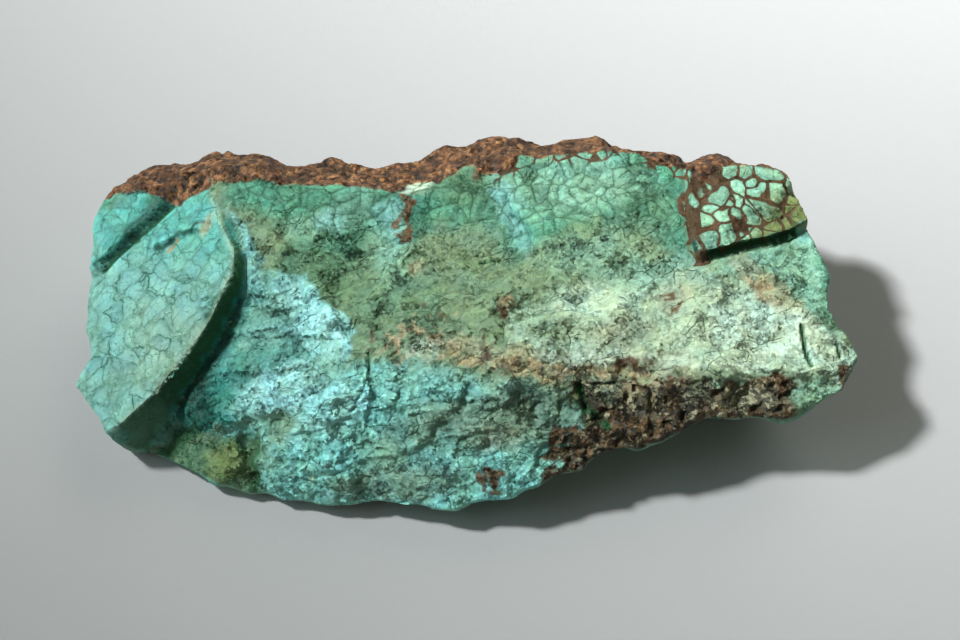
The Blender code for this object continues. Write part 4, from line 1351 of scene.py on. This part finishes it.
class StoneReads:
    """What the stone's finish reads at each point: places, patterns, and the numbers of the piece's mesh."""

    def __init__(self, finish: Finish, sizes: StoneFinish) -> None:
        """Adds the nodes that are read.

        Args:
            finish: The material.
            sizes: The scales and sizes of the patterns.
        """
        self.finish = finish
        self.place = finish.read("grain", "Vector")
        self.flow = finish.read("flow", "Vector")
        self.tint = finish.read("tint", "Color")
        self.plain = finish.plain_place()
        waves = finish.cloud(self.place, sizes.wave_scale, 2.0, 0.5).outputs["Color"]
        waves = finish.vector("SUBTRACT", waves, (0.5, 0.5, 0.5))
        self.wavy = finish.vector("MULTIPLY_ADD", waves, (sizes.cell_waves,) * 3, self.place)
        self.rippled = finish.vector("MULTIPLY_ADD", waves, (sizes.flake_waves,) * 3, self.flow)
        self.web = finish.attribute("web")
        self.nodular = finish.attribute("nodular")
        self.matrix = finish.attribute("matrix")
        self.grit = finish.attribute("grit")
        self.rind = finish.attribute("rind")
        self.crumb = finish.attribute("crumb")
        self.hollow = finish.attribute("hollow")
        # painted shade in the hollows, taken from the skin's hollowness
        self.hollow_shade = self.hollow.at_least(0.0).at_most(1.0)
        self.mottle = finish.noise(self.plain, sizes.mottle_scale, 5.0)
        self.drift = finish.noise(self.place, sizes.drift_scale, 3.0)
        self.warm = finish.noise(self.plain, sizes.warm_scale, 4.0)
        self.edge = finish.edges(self.wavy, sizes.cells)
        self.rim = finish.edges(self.place, sizes.nodules)
        self.nodule = finish.cells(self.place, sizes.nodules)


@dataclass(frozen=True)
class SheetFinish:
    """A pale matt sheet with a fine tooth."""

    colour: Triple = (0.385, 0.396, 0.400)
    roughness: float = 0.85
    tooth_scale: float = 900.0
    tooth_height: float = 0.0001
    tooth_strength: float = 0.3

    def make(self) -> bpy.types.Material:
        """Makes the material."""
        finish = Finish("pale_sheet")
        tooth = finish.noise(finish.plain_place(), self.tooth_scale, 2.0, 0.5)
        finish.dress(
            Base_Color=finish.scaled(self.colour, 0.985 + 0.03 * tooth),
            Roughness=self.roughness,
            Normal=finish.bump(tooth, self.tooth_height, self.tooth_strength),
        )
        return finish.material


# --- the stone -----------------------------------------------------------------------------------


def numbers_of(rows: bpy.types.bpy_prop_collection, name: str, width: int, kind: type = float) -> Points:
    """Reads the numbers that a mesh holds.

    Args:
        rows: The mesh's points, edges or faces, or an attribute's values.
        name: What is read from each.
        width: How many numbers each holds.
        kind: What kind of numbers they are.

    Returns:
        The numbers, a row for each.
    """
    found = np.empty(len(rows) * width, dtype=kind)
    rows.foreach_get(name, found)
    return found.reshape(-1, width)


def points_of(mesh: bpy.types.Mesh) -> Points:
    """The places of a mesh's points."""
    return numbers_of(mesh.vertices, "co", 3)


def normals_of(mesh: bpy.types.Mesh) -> Points:
    """The way that each point of a mesh faces."""
    return numbers_of(mesh.vertices, "normal", 3)


def links_of(mesh: bpy.types.Mesh) -> Points:
    """The two points of each edge of a mesh."""
    return numbers_of(mesh.edges, "vertices", 2, np.int32)


def put_points(mesh: bpy.types.Mesh, points: Points) -> None:
    """Moves a mesh's points to their new places."""
    mesh.vertices.foreach_set("co", points.ravel())
    mesh.update()


def evened(values: Points, links: Points, rounds: int) -> Points:
    """Averages each point's values with its neighbours'.

    Args:
        values: A row of values for each point.
        links: The pairs of neighbours.
        rounds: How many times to do it.

    Returns:
        The averaged values.
    """
    first, second = np.concatenate([links, links[:, ::-1]]).T
    count = np.bincount(first, minlength=len(values))[:, None] + 1.0
    for _ in range(rounds):
        sums = [np.bincount(first, weights=column[second], minlength=len(values)) for column in values.T]
        values = (values + np.stack(sums, axis=1)) / count
    return values


def keep(mesh: bpy.types.Mesh, name: str, values: Points) -> None:
    """Stores a number, or a vector or colour, at each point of a mesh.

    Args:
        mesh: The mesh.
        name: What the finish reads it by.
        values: The numbers, or a row of three for each point.
    """
    kind, key = {1: ("FLOAT", "value"), 2: ("FLOAT_VECTOR", "vector")}[values.ndim]
    stored = mesh.attributes.new(name, kind, "POINT")
    stored.data.foreach_set(key, np.ascontiguousarray(values, dtype=np.float32).ravel())


def link(name: str, data: bpy.types.ID) -> bpy.types.Object:
    """Puts a new object into the scene.

    Args:
        name: The object's name.
        data: Its mesh, light or camera.

    Returns:
        The object.
    """
    made = bpy.data.objects.new(name, data)
    bpy.context.scene.collection.objects.link(made)
    return made


def select_only(obj: bpy.types.Object) -> None:
    """Selects one object and nothing else.

    Args:
        obj: The object.
    """
    bpy.ops.object.select_all(action="DESELECT")
    obj.select_set(True)
    bpy.context.view_layer.objects.active = obj


def finish_with(obj: bpy.types.Object, kind: str, **settings: object) -> None:
    """Adds a modifier to an object and applies it.

    Args:
        obj: The object.
        kind: The modifier's type.
        settings: Its settings.
    """
    select_only(obj)
    modifier = obj.modifiers.new(kind.title(), kind)
    for name, value in settings.items():
        setattr(modifier, name, value)
    bpy.ops.object.modifier_apply(modifier=modifier.name)


def cell_borders(obj: bpy.types.Object, vector: str, scale: float) -> Points:
    """Measures how far each point is from the border of its cell.

    Args:
        obj: The piece, whose mesh holds the vector at each point.
        vector: The name of the vector that places a point among the cells.
        scale: How many cells a metre holds.

    Returns:
        The distance to the border, as a share of the cells' size.
    """
    tree = bpy.data.node_groups.new("cells", "GeometryNodeTree")
    for in_out in ("INPUT", "OUTPUT"):
        tree.interface.new_socket(name="Geometry", in_out=in_out, socket_type="NodeSocketGeometry")
    start, end = tree.nodes.new("NodeGroupInput"), tree.nodes.new("NodeGroupOutput")
    read = tree.nodes.new("GeometryNodeInputNamedAttribute")
    read.data_type = "FLOAT_VECTOR"
    read.inputs["Name"].default_value = vector
    cells = tree.nodes.new("ShaderNodeTexVoronoi")
    cells.feature = "DISTANCE_TO_EDGE"
    cells.inputs["Scale"].default_value = scale
    store = tree.nodes.new("GeometryNodeStoreNamedAttribute")
    store.data_type = "FLOAT"
    store.domain = "POINT"
    store.inputs["Name"].default_value = "border"
    tree.links.new(read.outputs["Attribute"], cells.inputs["Vector"])
    tree.links.new(start.outputs[0], store.inputs["Geometry"])
    tree.links.new(cells.outputs["Distance"], store.inputs["Value"])
    tree.links.new(store.outputs["Geometry"], end.inputs[0])
    finish_with(obj, "NODES", node_group=tree)
    stored = obj.data.attributes["border"]
    found = numbers_of(stored.data, "value", 1, np.float32)[:, 0].astype(float)
    obj.data.attributes.remove(stored)
    bpy.data.node_groups.remove(tree)
    return found


@dataclass
class Shares:
    """How much each point of the skin belongs to each part of the stone, from 0 to 1."""

    shown: Points
    hidden: Points
    slab: Points
    cap: Points
    lip: Points
    rind: Points
    bright: Points
    lower: Points
    upper: Points
    right: Points
    under: Points


@dataclass
class Nugget:
    """The nugget: a fine skin on the stone's form, its relief, and what its finish needs to know."""

    skin: float = 0.00052
    fine_facing: float = 0.12
    form: StoneForm = field(default_factory=StoneForm)
    colouring: Colouring = field(default_factory=Colouring)
    finish: StoneFinish = StoneFinish()
    sharp_edge: float = 38.0
    fractures: tuple[tuple[float, float], ...] = ((0.0100, 0.10), (0.0048, 0.13))
    flank_tilt: float = 1.35
    flow_turn: float = 22.0
    flow_length: float = 1.6
    chips: tuple[tuple[float, float], ...] = ((0.0021, 0.13), (0.0010, 0.18))
    chip_sharpness: float = 70.0
    lumps: tuple[tuple[float, float], ...] = (
        (0.0065, 0.0005), (0.0034, 0.0003), (0.0015, 0.00020), (0.0008, 0.00020),
    )
    pit_depth: float = 0.00040
    nodule_rise: float = 0.00014
    grain_wander: float = 0.0016
    wear: float = 0.8
    rind_reach: float = 2.4
    band_width: float = 0.72
    pale_lump: Stain = Stain(-5.3, 13.6, 1.9, 1.3, 20, Tint.TAN)
    ridge: Line = ((0.0005, -0.0078), (0.0072, -0.0098), (0.0400, -0.0094))
    knob: tuple[float, float] = (0.0443, -0.0089)
    cracks: tuple[Trough, ...] = (
        Trough(
            ((-0.0420, 0.0064), (-0.0409, 0.0073), (-0.0377, 0.0094), (-0.0359, 0.0103), (-0.0338, 0.0120)),
            0.00032, 0.00035,
        ),
        Trough(((0.0418, -0.0050), (0.0422, -0.0064)), 0.00022, 0.0004),
        Trough(((0.0378, -0.0033), (0.0381, -0.0055), (0.0388, -0.0076)), 0.00025, 0.0005),
        Trough(((-0.0107, -0.0070), (-0.0106, -0.0098), (-0.0128, -0.0130)), 0.00016, 0.00018),
        Trough(((0.0126, -0.0109), (0.0133, -0.0123), (0.0158, -0.0141)), 0.00035, 0.0006),
        Trough(((0.0017, 0.0042), (0.0039, 0.0044)), 0.00018, 0.0003),
        Trough(((0.0275, 0.0041), (0.0316, 0.0055), (0.0351, 0.0066), (0.0376, 0.0079)), 0.00030, 0.0007),
    )
    flakes: tuple[Scarp, ...] = (
        Scarp(
            (
                (-0.0437, 0.0060), (-0.0413, 0.0079), (-0.0382, 0.0100), (-0.0365, 0.0109),
                (-0.0350, 0.0119), (-0.0334, 0.0138),
            ),
            0.0009, 0.0050, 0.0005,
        ),
        Scarp(
            ((-0.0364, 0.0073), (-0.0345, 0.0077), (-0.0323, 0.0081), (-0.0296, 0.0084)),
            0.0005, 0.0016, 0.0003,
        ),
        Scarp(
            ((-0.0140, -0.0052), (-0.0190, -0.0044), (-0.0240, -0.0040), (-0.0278, -0.0028)),
            -0.00035, 0.0025,
        ),
        Scarp(((-0.0180, -0.0080), (-0.0243, -0.0077), (-0.0288, -0.0074)), -0.00030, 0.0022),
        Scarp(((-0.0165, -0.0010), (-0.0205, -0.0016), (-0.0250, -0.0006)), -0.00025, 0.0020),
    )

    def build(self, solid: bpy.types.Object) -> bpy.types.Object:
        """Builds and dresses the stone.

        Args:
            solid: The plain solid that the stone stands for.

        Returns:
            The finished piece.
        """
        nugget = self.cover(solid)
        points, normals = points_of(nugget.data), normals_of(nugget.data)
        grain = points + swirl(points, 0.0030, 0.0013, (4, 5, 6)) * self.grain_wander
        flow = self.flow(points)
        keep(nugget.data, "grain", grain)
        keep(nugget.data, "flow", flow)
        border = cell_borders(nugget, "grain", self.finish.nodules)
        mesh = nugget.data
        shares = self.shares(points, normals)
        crumb = self.crumb(points, normals, shares)
        final = self.raised(points, normals, links_of(mesh), self.relief(points, flow, border, crumb, shares))
        put_points(mesh, final)
        rind = smooth_step(0.30, 0.70, shares.rind + 0.5 * (clouds(points, 0.0012, 9) - 0.5))
        keep(mesh, "tint", self.colouring.tints(points, normals, self.form, self.cracks))
        # the hollows get painted shade and the small crests painted highlights in the finish
        keep(mesh, "hollow", self.hollows(final, points, normals_of(mesh), links_of(mesh)))
        keep(mesh, "rind", rind)
        keep(mesh, "crumb", np.clip(crumb + 0.3 * np.maximum(shares.rind, shares.under), 0.0, 1.6))
        keep(mesh, "web", self.web(shares))
        keep(mesh, "matrix", self.matrix(points, shares))
        keep(mesh, "nodular", shares.upper * shares.shown)
        keep(mesh, "grit", self.grit(points, normals))
        mesh.materials.clear()
        mesh.materials.append(self.finish.make())
        select_only(nugget)
        bpy.ops.object.shade_smooth_by_angle(angle=radians(self.sharp_edge))
        return nugget

    def cover(self, solid: bpy.types.Object) -> bpy.types.Object:
        """Covers the solid with a fine skin, and carves it to the stone's form.

        Args:
            solid: The solid.

        Returns:
            The new piece.
        """
        nugget = link("raw_turquoise_nugget", solid.data.copy())
        select_only(nugget)
        bpy.ops.object.mode_set(mode="EDIT")
        bpy.ops.mesh.select_all(action="SELECT")
        bpy.ops.mesh.remove_doubles(threshold=0.000001)
        bpy.ops.object.mode_set(mode="OBJECT")
        finish_with(nugget, "REMESH", mode="VOXEL", voxel_size=self.skin)
        put_points(nugget.data, self.form.carve(points_of(nugget.data), 10))
        self.refine(nugget)
        points, links = points_of(nugget.data), links_of(nugget.data)
        for _ in range(4):
            points = self.form.carve(evened(points, links, 1), 4)
        put_points(nugget.data, points)
        for ledge in (self.form.face.slab_ledge, self.form.face.cap_ledge):
            self.line_up(nugget.data, ledge)
        return nugget

    def refine(self, nugget: bpy.types.Object) -> None:
        """Splits the skin's faces where they look up, so that small relief shows there.

        Args:
            nugget: The piece.
        """
        mesh = nugget.data
        select_only(nugget)
        looks_up = numbers_of(mesh.polygons, "normal", 3)[:, 2] > self.fine_facing
        bpy.ops.object.mode_set(mode="EDIT")
        bpy.ops.mesh.select_mode(type="FACE")
        bpy.ops.mesh.select_all(action="DESELECT")
        bpy.ops.object.mode_set(mode="OBJECT")
        mesh.polygons.foreach_set("select", looks_up)
        bpy.ops.object.mode_set(mode="EDIT")
        bpy.ops.mesh.subdivide(number_cuts=1)
        bpy.ops.object.mode_set(mode="OBJECT")

    def line_up(
        self, mesh: bpy.types.Mesh, ledge: Ledge, reach: float = 0.00024, area: float = 0.0012
    ) -> None:
        """Slides points of the skin onto a ledge's edge and the foot of its wall, then evens the rest.

        Args:
            mesh: The skin.
            ledge: The ledge.
            reach: How far a point may slide.
            area: How far from the edge points are evened.
        """
        points = points_of(mesh)
        x, y, z = points.T
        gap, place = distance_to_line(x, y, ledge.edge)
        corners = np.array(ledge.edge)
        corner = np.minimum(place.astype(int), len(corners) - 2)
        nearest = corners[corner] + (corners[corner + 1] - corners[corner]) * (place - corner)[:, None]
        foot = ledge.width(place)
        aim = np.where((gap < foot / 2) | ledge.behind(x, y), 0.0, foot)
        on_face = z > self.form.face.height(x, y) - reach
        held = (np.abs(gap - aim) < reach) & on_face & (place > 0.01) & (place < len(corners) - 1.01)
        away = (points[:, :2] - nearest) / np.maximum(gap, 1e-9)[:, None]
        points[held, :2] = (nearest + away * aim[:, None])[held]
        loose = (gap < area) & on_face & ~held
        links = links_of(mesh)
        for _ in range(4):
            even = evened(points, links, 1)
            points[loose, :2] = even[loose, :2]
        moved = held | loose
        points[moved, 2] = self.form.face.height(points[moved, 0], points[moved, 1])
        put_points(mesh, points)

    def flow(self, points: Points) -> Points:
        """Places each point among the small fractures, which run long across the broken face."""
        along, across = turned(points[:, 0], points[:, 1], self.flow_turn)
        return np.stack([along / self.flow_length, across, points[:, 2]], axis=1)

    def shares(self, points: Points, normals: Points) -> Shares:
        """Finds the parts of the stone.

        Args:
            points: The skin's points.
            normals: The way each point faces.

        Returns:
            How much each point belongs to each part.
        """
        x, y, _ = points.T
        slab_ledge, cap_ledge = self.form.face.slab_ledge, self.form.face.cap_ledge
        hidden = smooth_step(0.3, -0.1, normals[:, 2])
        shown = 1.0 - hidden
        slab = shown * smooth_step(0.85, 0.98, slab_ledge.share(x, y))
        cap = shown * cap_ledge.share(x, y)
        lip = shown * np.maximum(slab_ledge.near(x, y, 0.0008), cap_ledge.near(x, y, 0.0011))
        bright, lower, upper, right, under = (
            zone.value.share(x, y) * shown * (1.0 - slab)
            for zone in (Zone.BRIGHT, Zone.LOWER, Zone.UPPER, Zone.RIGHT, Zone.UNDER)
        )
        husk = Zone.HUSK.value.share(x, y) * smooth_step(-0.1, 0.2, normals[:, 2])
        rind = np.maximum(self.form.rind_share(points), husk) * (1.0 - self.pale_lump.share(x, y))
        upper = np.maximum(upper, cap)
        return Shares(shown, hidden, slab, cap, lip, rind, bright, lower, upper, right, under)

    def crumb(self, points: Points, normals: Points, shares: Shares) -> Points:
        """Works out how crumbly the stone is.

        Args:
            points: The skin's points.
            normals: The way each point faces.
            shares: The parts of the stone.

        Returns:
            The crumbliness at each point.
        """
        steep = smooth_step(0.75, 0.35, normals[:, 2]) * (1.0 - shares.rind)
        calm = 0.80 * shares.slab + 0.65 * shares.upper + 0.25 * shares.right + 0.8 * shares.lip + 0.7 * steep
        rest = (1.0 - np.clip(calm, 0.0, 0.92)) * (0.7 + 0.6 * clouds(points, 0.0045, 12))
        return rest + 0.5 * shares.under

    def relief(self, points: Points, flow: Points, border: Points, crumb: Points, shares: Shares) -> Points:
        """Works out the relief: fractures, chips, flakes, cracks, nodules, and the rind's lumps and pits.

        Args:
            points: The skin's points.
            flow: Each point's place among the small fractures.
            border: How far each point is from the border of its nodule.
            crumb: How crumbly the stone is.
            shares: The parts of the stone.

        Returns:
            How far each point is raised.
        """
        x, y, _ = points.T
        raised = sum(tilt * mosaic(points, size)[0] for size, tilt in self.fractures)
        raised *= 1.0 + (self.flank_tilt - 1.0) * shares.hidden
        raised *= 1.0 - 0.6 * np.maximum(shares.slab, shares.lip)
        for number, (size, tilt) in enumerate(self.chips):
            chips = mosaic(flow + 0.1 * number, size, self.chip_sharpness)[0]
            raised += crumb * (1.0 + 0.4 * shares.lower) * tilt * chips
        raised += sum(flake.rise_at(x, y) for flake in self.flakes) * shares.shown
        raised -= sum(crack.depth_at(x, y) for crack in self.cracks) * shares.shown
        nodular = shares.upper * 0.8 + shares.cap * 0.3 + 0.10 * shares.slab + 0.25 * shares.hidden + 0.10
        nodular = np.clip(nodular, 0.0, 1.0) * (1.0 - 0.9 * shares.lip)
        raised += nodular * self.nodule_rise * (smooth_step(0.0, 0.32, border) - 0.6)
        for size, height in self.lumps:
            raised += shares.rind * height * (0.55 - 1.6 * mosaic(points, size)[1] ** 2)
        pits = smooth_step(0.66, 0.80, clouds(points, 0.0009, 13))
        return raised - np.maximum(shares.rind, shares.under) * self.pit_depth * pits

    def raised(self, points: Points, normals: Points, links: Points, relief: Points) -> Points:
        """Raises the relief, holds it above the ground, and wears the broken face's crest down a little.

        Args:
            points: The skin's points.
            normals: The way each point faces.
            links: The pairs of neighbours.
            relief: How far each point is raised.

        Returns:
            The points' final places.
        """
        final = points + evened(normals, links, 2) * relief[:, None]
        final[:, 2] = np.maximum(final[:, 2], 0.0)
        even = evened(final, links, 2)
        crest = smooth_step(0.00002, 0.00008, ((final - even) * normals).sum(axis=1))
        near = smooth_step(-0.0012, -0.0005, self.form.flanks.distance(*points.T))
        return final + (even - final) * (crest * near * self.wear)[:, None]

    def web(self, shares: Shares) -> Points:
        """How much of the dark webs shows."""
        web = 0.66 * shares.slab + 0.1 * shares.upper + 0.25 * (shares.bright + shares.lower)
        return np.clip(web + 0.35 * shares.hidden + 0.22, 0.0, 1.0)

    def matrix(self, points: Points, shares: Shares) -> Points:
        """Works out the brown webs on the cap, in the band beside it and below the rind.

        Args:
            points: The skin's points.
            shares: The parts of the stone.

        Returns:
            How wide they are at each point.
        """
        x, y, _ = points.T
        near_rind = smooth_step(0.0, 0.7, Area(Zone.HUSK.value.corners, self.rind_reach).share(x, y))
        drift = clouds(points, 0.0034, 14)
        tip = smooth_step(0.0385, 0.0345, x + 0.6 * (0.010 - y))
        matrix = shares.cap * (0.12 + 0.26 * drift) * (0.15 + 0.85 * tip)
        matrix = np.maximum(matrix, self.band_width * Zone.BAND.value.share(x, y) * shares.shown)
        below_rind = near_rind * smooth_step(-0.012, 0.003, x) * shares.upper
        return np.maximum(matrix, below_rind * (1.1 * drift - 0.1))

    def grit(self, points: Points, normals: Points) -> Points:
        """Scatters pale grit, and dark specks painted as the shade of small holes, under the near ridge, along
        it, and on the knob.

        Args:
            points: The skin's points.
            normals: The way each point faces.

        Returns:
            How much grit lies at each point.
        """
        x, y, _ = points.T
        patchy = smooth_step(0.35, 0.60, clouds(points, 0.0026, 21))
        ridge, _ = distance_to_line(x, y, self.ridge)
        knob = np.hypot(x - self.knob[0], y - self.knob[1])
        found = 0.9 * Zone.UNDER.value.share(x, y) + 0.6 * patchy * smooth_step(0.0018, 0.0006, ridge)
        found = np.clip(found + smooth_step(0.0018, 0.0012, knob), 0.0, 1.0)
        return found * smooth_step(-0.2, 0.1, normals[:, 2])

    def hollows(self, final: Points, points: Points, normals: Points, links: Points) -> Points:
        """Finds the small hollows and crests of the skin, for painted shade in the hollows and painted highlights
        on the crests; less by the slab's edge and on the right end.

        Args:
            final: The points' final places.
            points: The points before the relief is raised.
            normals: The way each point faces.
            links: The pairs of neighbours.

        Returns:
            About 1 in a hollow, -1 on a small crest.
        """
        x, y, _ = points.T
        near = ((evened(final, links, 3) - final) * normals).sum(axis=1)
        far = ((evened(final, links, 14) - final) * normals).sum(axis=1)
        hollow = np.clip(near / 0.00006, -1.0, 1.0) * 0.65 + np.clip(far / 0.00022, -1.0, 1.0) * 0.30
        plain = 1.0 - 0.8 * self.form.face.slab_ledge.near(x, y, 0.0008)
        return hollow * plain * (1.0 - 0.5 * Zone.RIGHT.value.share(x, y))


# --- the studio ----------------------------------------------------------------------------------


@dataclass(frozen=True)
class Studio:
    """A pale sheet, a soft key light from the left, a pale sky, and the camera above the near side."""

    sheet: SheetFinish = SheetFinish()
    sheet_size: float = 3.0
    target: Triple = (0.00166, 0.0, 0.009)
    elevation: float = 60.0
    distance: float = 0.2598
    lens: float = 85.0
    film_width: float = 36.0
    nearest: float = 0.005
    key_from: Triple = (-0.63, 0.21, 0.77)
    key_aim: Triple = (0.10, 0.08, 0.0)
    key_distance: float = 1.2
    key_watts: float = 98.0
    key_radius: float = 0.07
    key_cone: float = 22.0
    glow_aim: Triple = (0.12, 0.16, 0.0)
    glow_watts: float = 134.0
    glow_cone: float = 16.0
    sky: Triple = (1.00, 1.00, 0.84)
    sky_strength: float = 0.14
    window_from: Triple = (-0.75, -0.05, 0.65)
    window_colour: Triple = (0.66, 0.92, 1.00)
    window_watts: float = 2.4
    fill_from: Triple = (0.35, 0.75, 0.55)
    fill_colour: Triple = (1.00, 0.99, 0.90)
    fill_watts: float = 4.2
    panel_size: float = 0.7
    panel_distance: float = 1.1

    def build(self) -> None:
        """Builds the floor and the lights."""
        bpy.ops.object.select_all(action="DESELECT")
        bpy.ops.mesh.primitive_plane_add(size=self.sheet_size)
        floor = bpy.context.object
        floor.name = "pale_floor"
        floor.data.materials.append(self.sheet.make())
        self.spot("key", self.key_watts, self.key_cone, self.key_aim)
        self.spot("glow", self.glow_watts, self.glow_cone, self.glow_aim)
        self.panel("window", self.window_watts, self.window_colour, self.window_from)
        self.panel("fill", self.fill_watts, self.fill_colour, self.fill_from)
        world = bpy.data.worlds.new("pale_sky")
        world.use_nodes = True
        background = world.node_tree.nodes["Background"].inputs
        background["Color"].default_value = self.sky + (1.0,)
        background["Strength"].default_value = self.sky_strength
        bpy.context.scene.world = world
        bpy.context.scene.view_settings.view_transform = "Standard"

    def hang(self, light: bpy.types.Light, towards: Triple, distance: float, aim: Triple) -> None:
        """Hangs a light.

        Args:
            light: The light.
            towards: The direction it hangs in, seen from the stone.
            distance: How far it is from the stone.
            aim: What it is aimed at.
        """
        lamp = link(light.name, light)
        lamp.location = Vector(self.target) + Vector(towards).normalized() * distance
        lamp.rotation_euler = (lamp.location - Vector(aim)).to_track_quat("Z", "Y").to_euler()

    def panel(self, name: str, watts: float, colour: Triple, towards: Triple) -> None:
        """Hangs a large soft light that faces the stone.

        Args:
            name: The light's name.
            watts: How strong it is.
            colour: Its colour.
            towards: The direction it hangs in, seen from the stone.
        """
        light = bpy.data.lights.new(name, "AREA")
        light.energy = watts
        light.size = self.panel_size
        light.color = colour
        self.hang(light, towards, self.panel_distance, self.target)

    def spot(self, name: str, watts: float, cone: float, aim: Triple) -> None:
        """Hangs a soft spot light where the key light is.

        Args:
            name: The light's name.
            watts: How strong it is.
            cone: How wide its cone is, in degrees.
            aim: The place on the floor that it is aimed at.
        """
        light = bpy.data.lights.new(name, "SPOT")
        light.energy = watts
        light.shadow_soft_size = self.key_radius
        light.spot_size = radians(cone)
        light.spot_blend = 1.0
        self.hang(light, self.key_from, self.key_distance, aim)

    def place_camera(self) -> None:
        """Puts the camera at its height and distance, looking at the stone."""
        lens = bpy.data.cameras.new("camera")
        lens.lens = self.lens
        lens.sensor_width = self.film_width
        lens.clip_start = self.nearest
        camera = link("camera", lens)
        tilt = Matrix.Rotation(radians(90.0 - self.elevation), 4, "X")
        back = tilt.to_3x3() @ Vector((0.0, 0.0, 1.0))
        camera.matrix_world = Matrix.Translation(Vector(self.target) + back * self.distance) @ tilt
        bpy.context.scene.camera = camera


def corners(box: tuple) -> list[list[float]]:
    """A box as plain lists of numbers."""
    return [[float(value) for value in corner] for corner in box]


def main() -> None:
    """Builds the stone and the studio in order."""
    logging.basicConfig(level=logging.INFO, format="%(name)s: %(message)s")
    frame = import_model()
    Studio().place_camera()
    nugget = Nugget().build(frame["nodes"][NODE])
    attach(nugget, "root")
    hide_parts(NODE)
    LOG.info("%s: %d faces, %d points", nugget.name, len(nugget.data.polygons), len(nugget.data.vertices))
    Studio().build()
    LOG.info("pale_floor, key and sky")


if __name__ == "__main__":
    main()
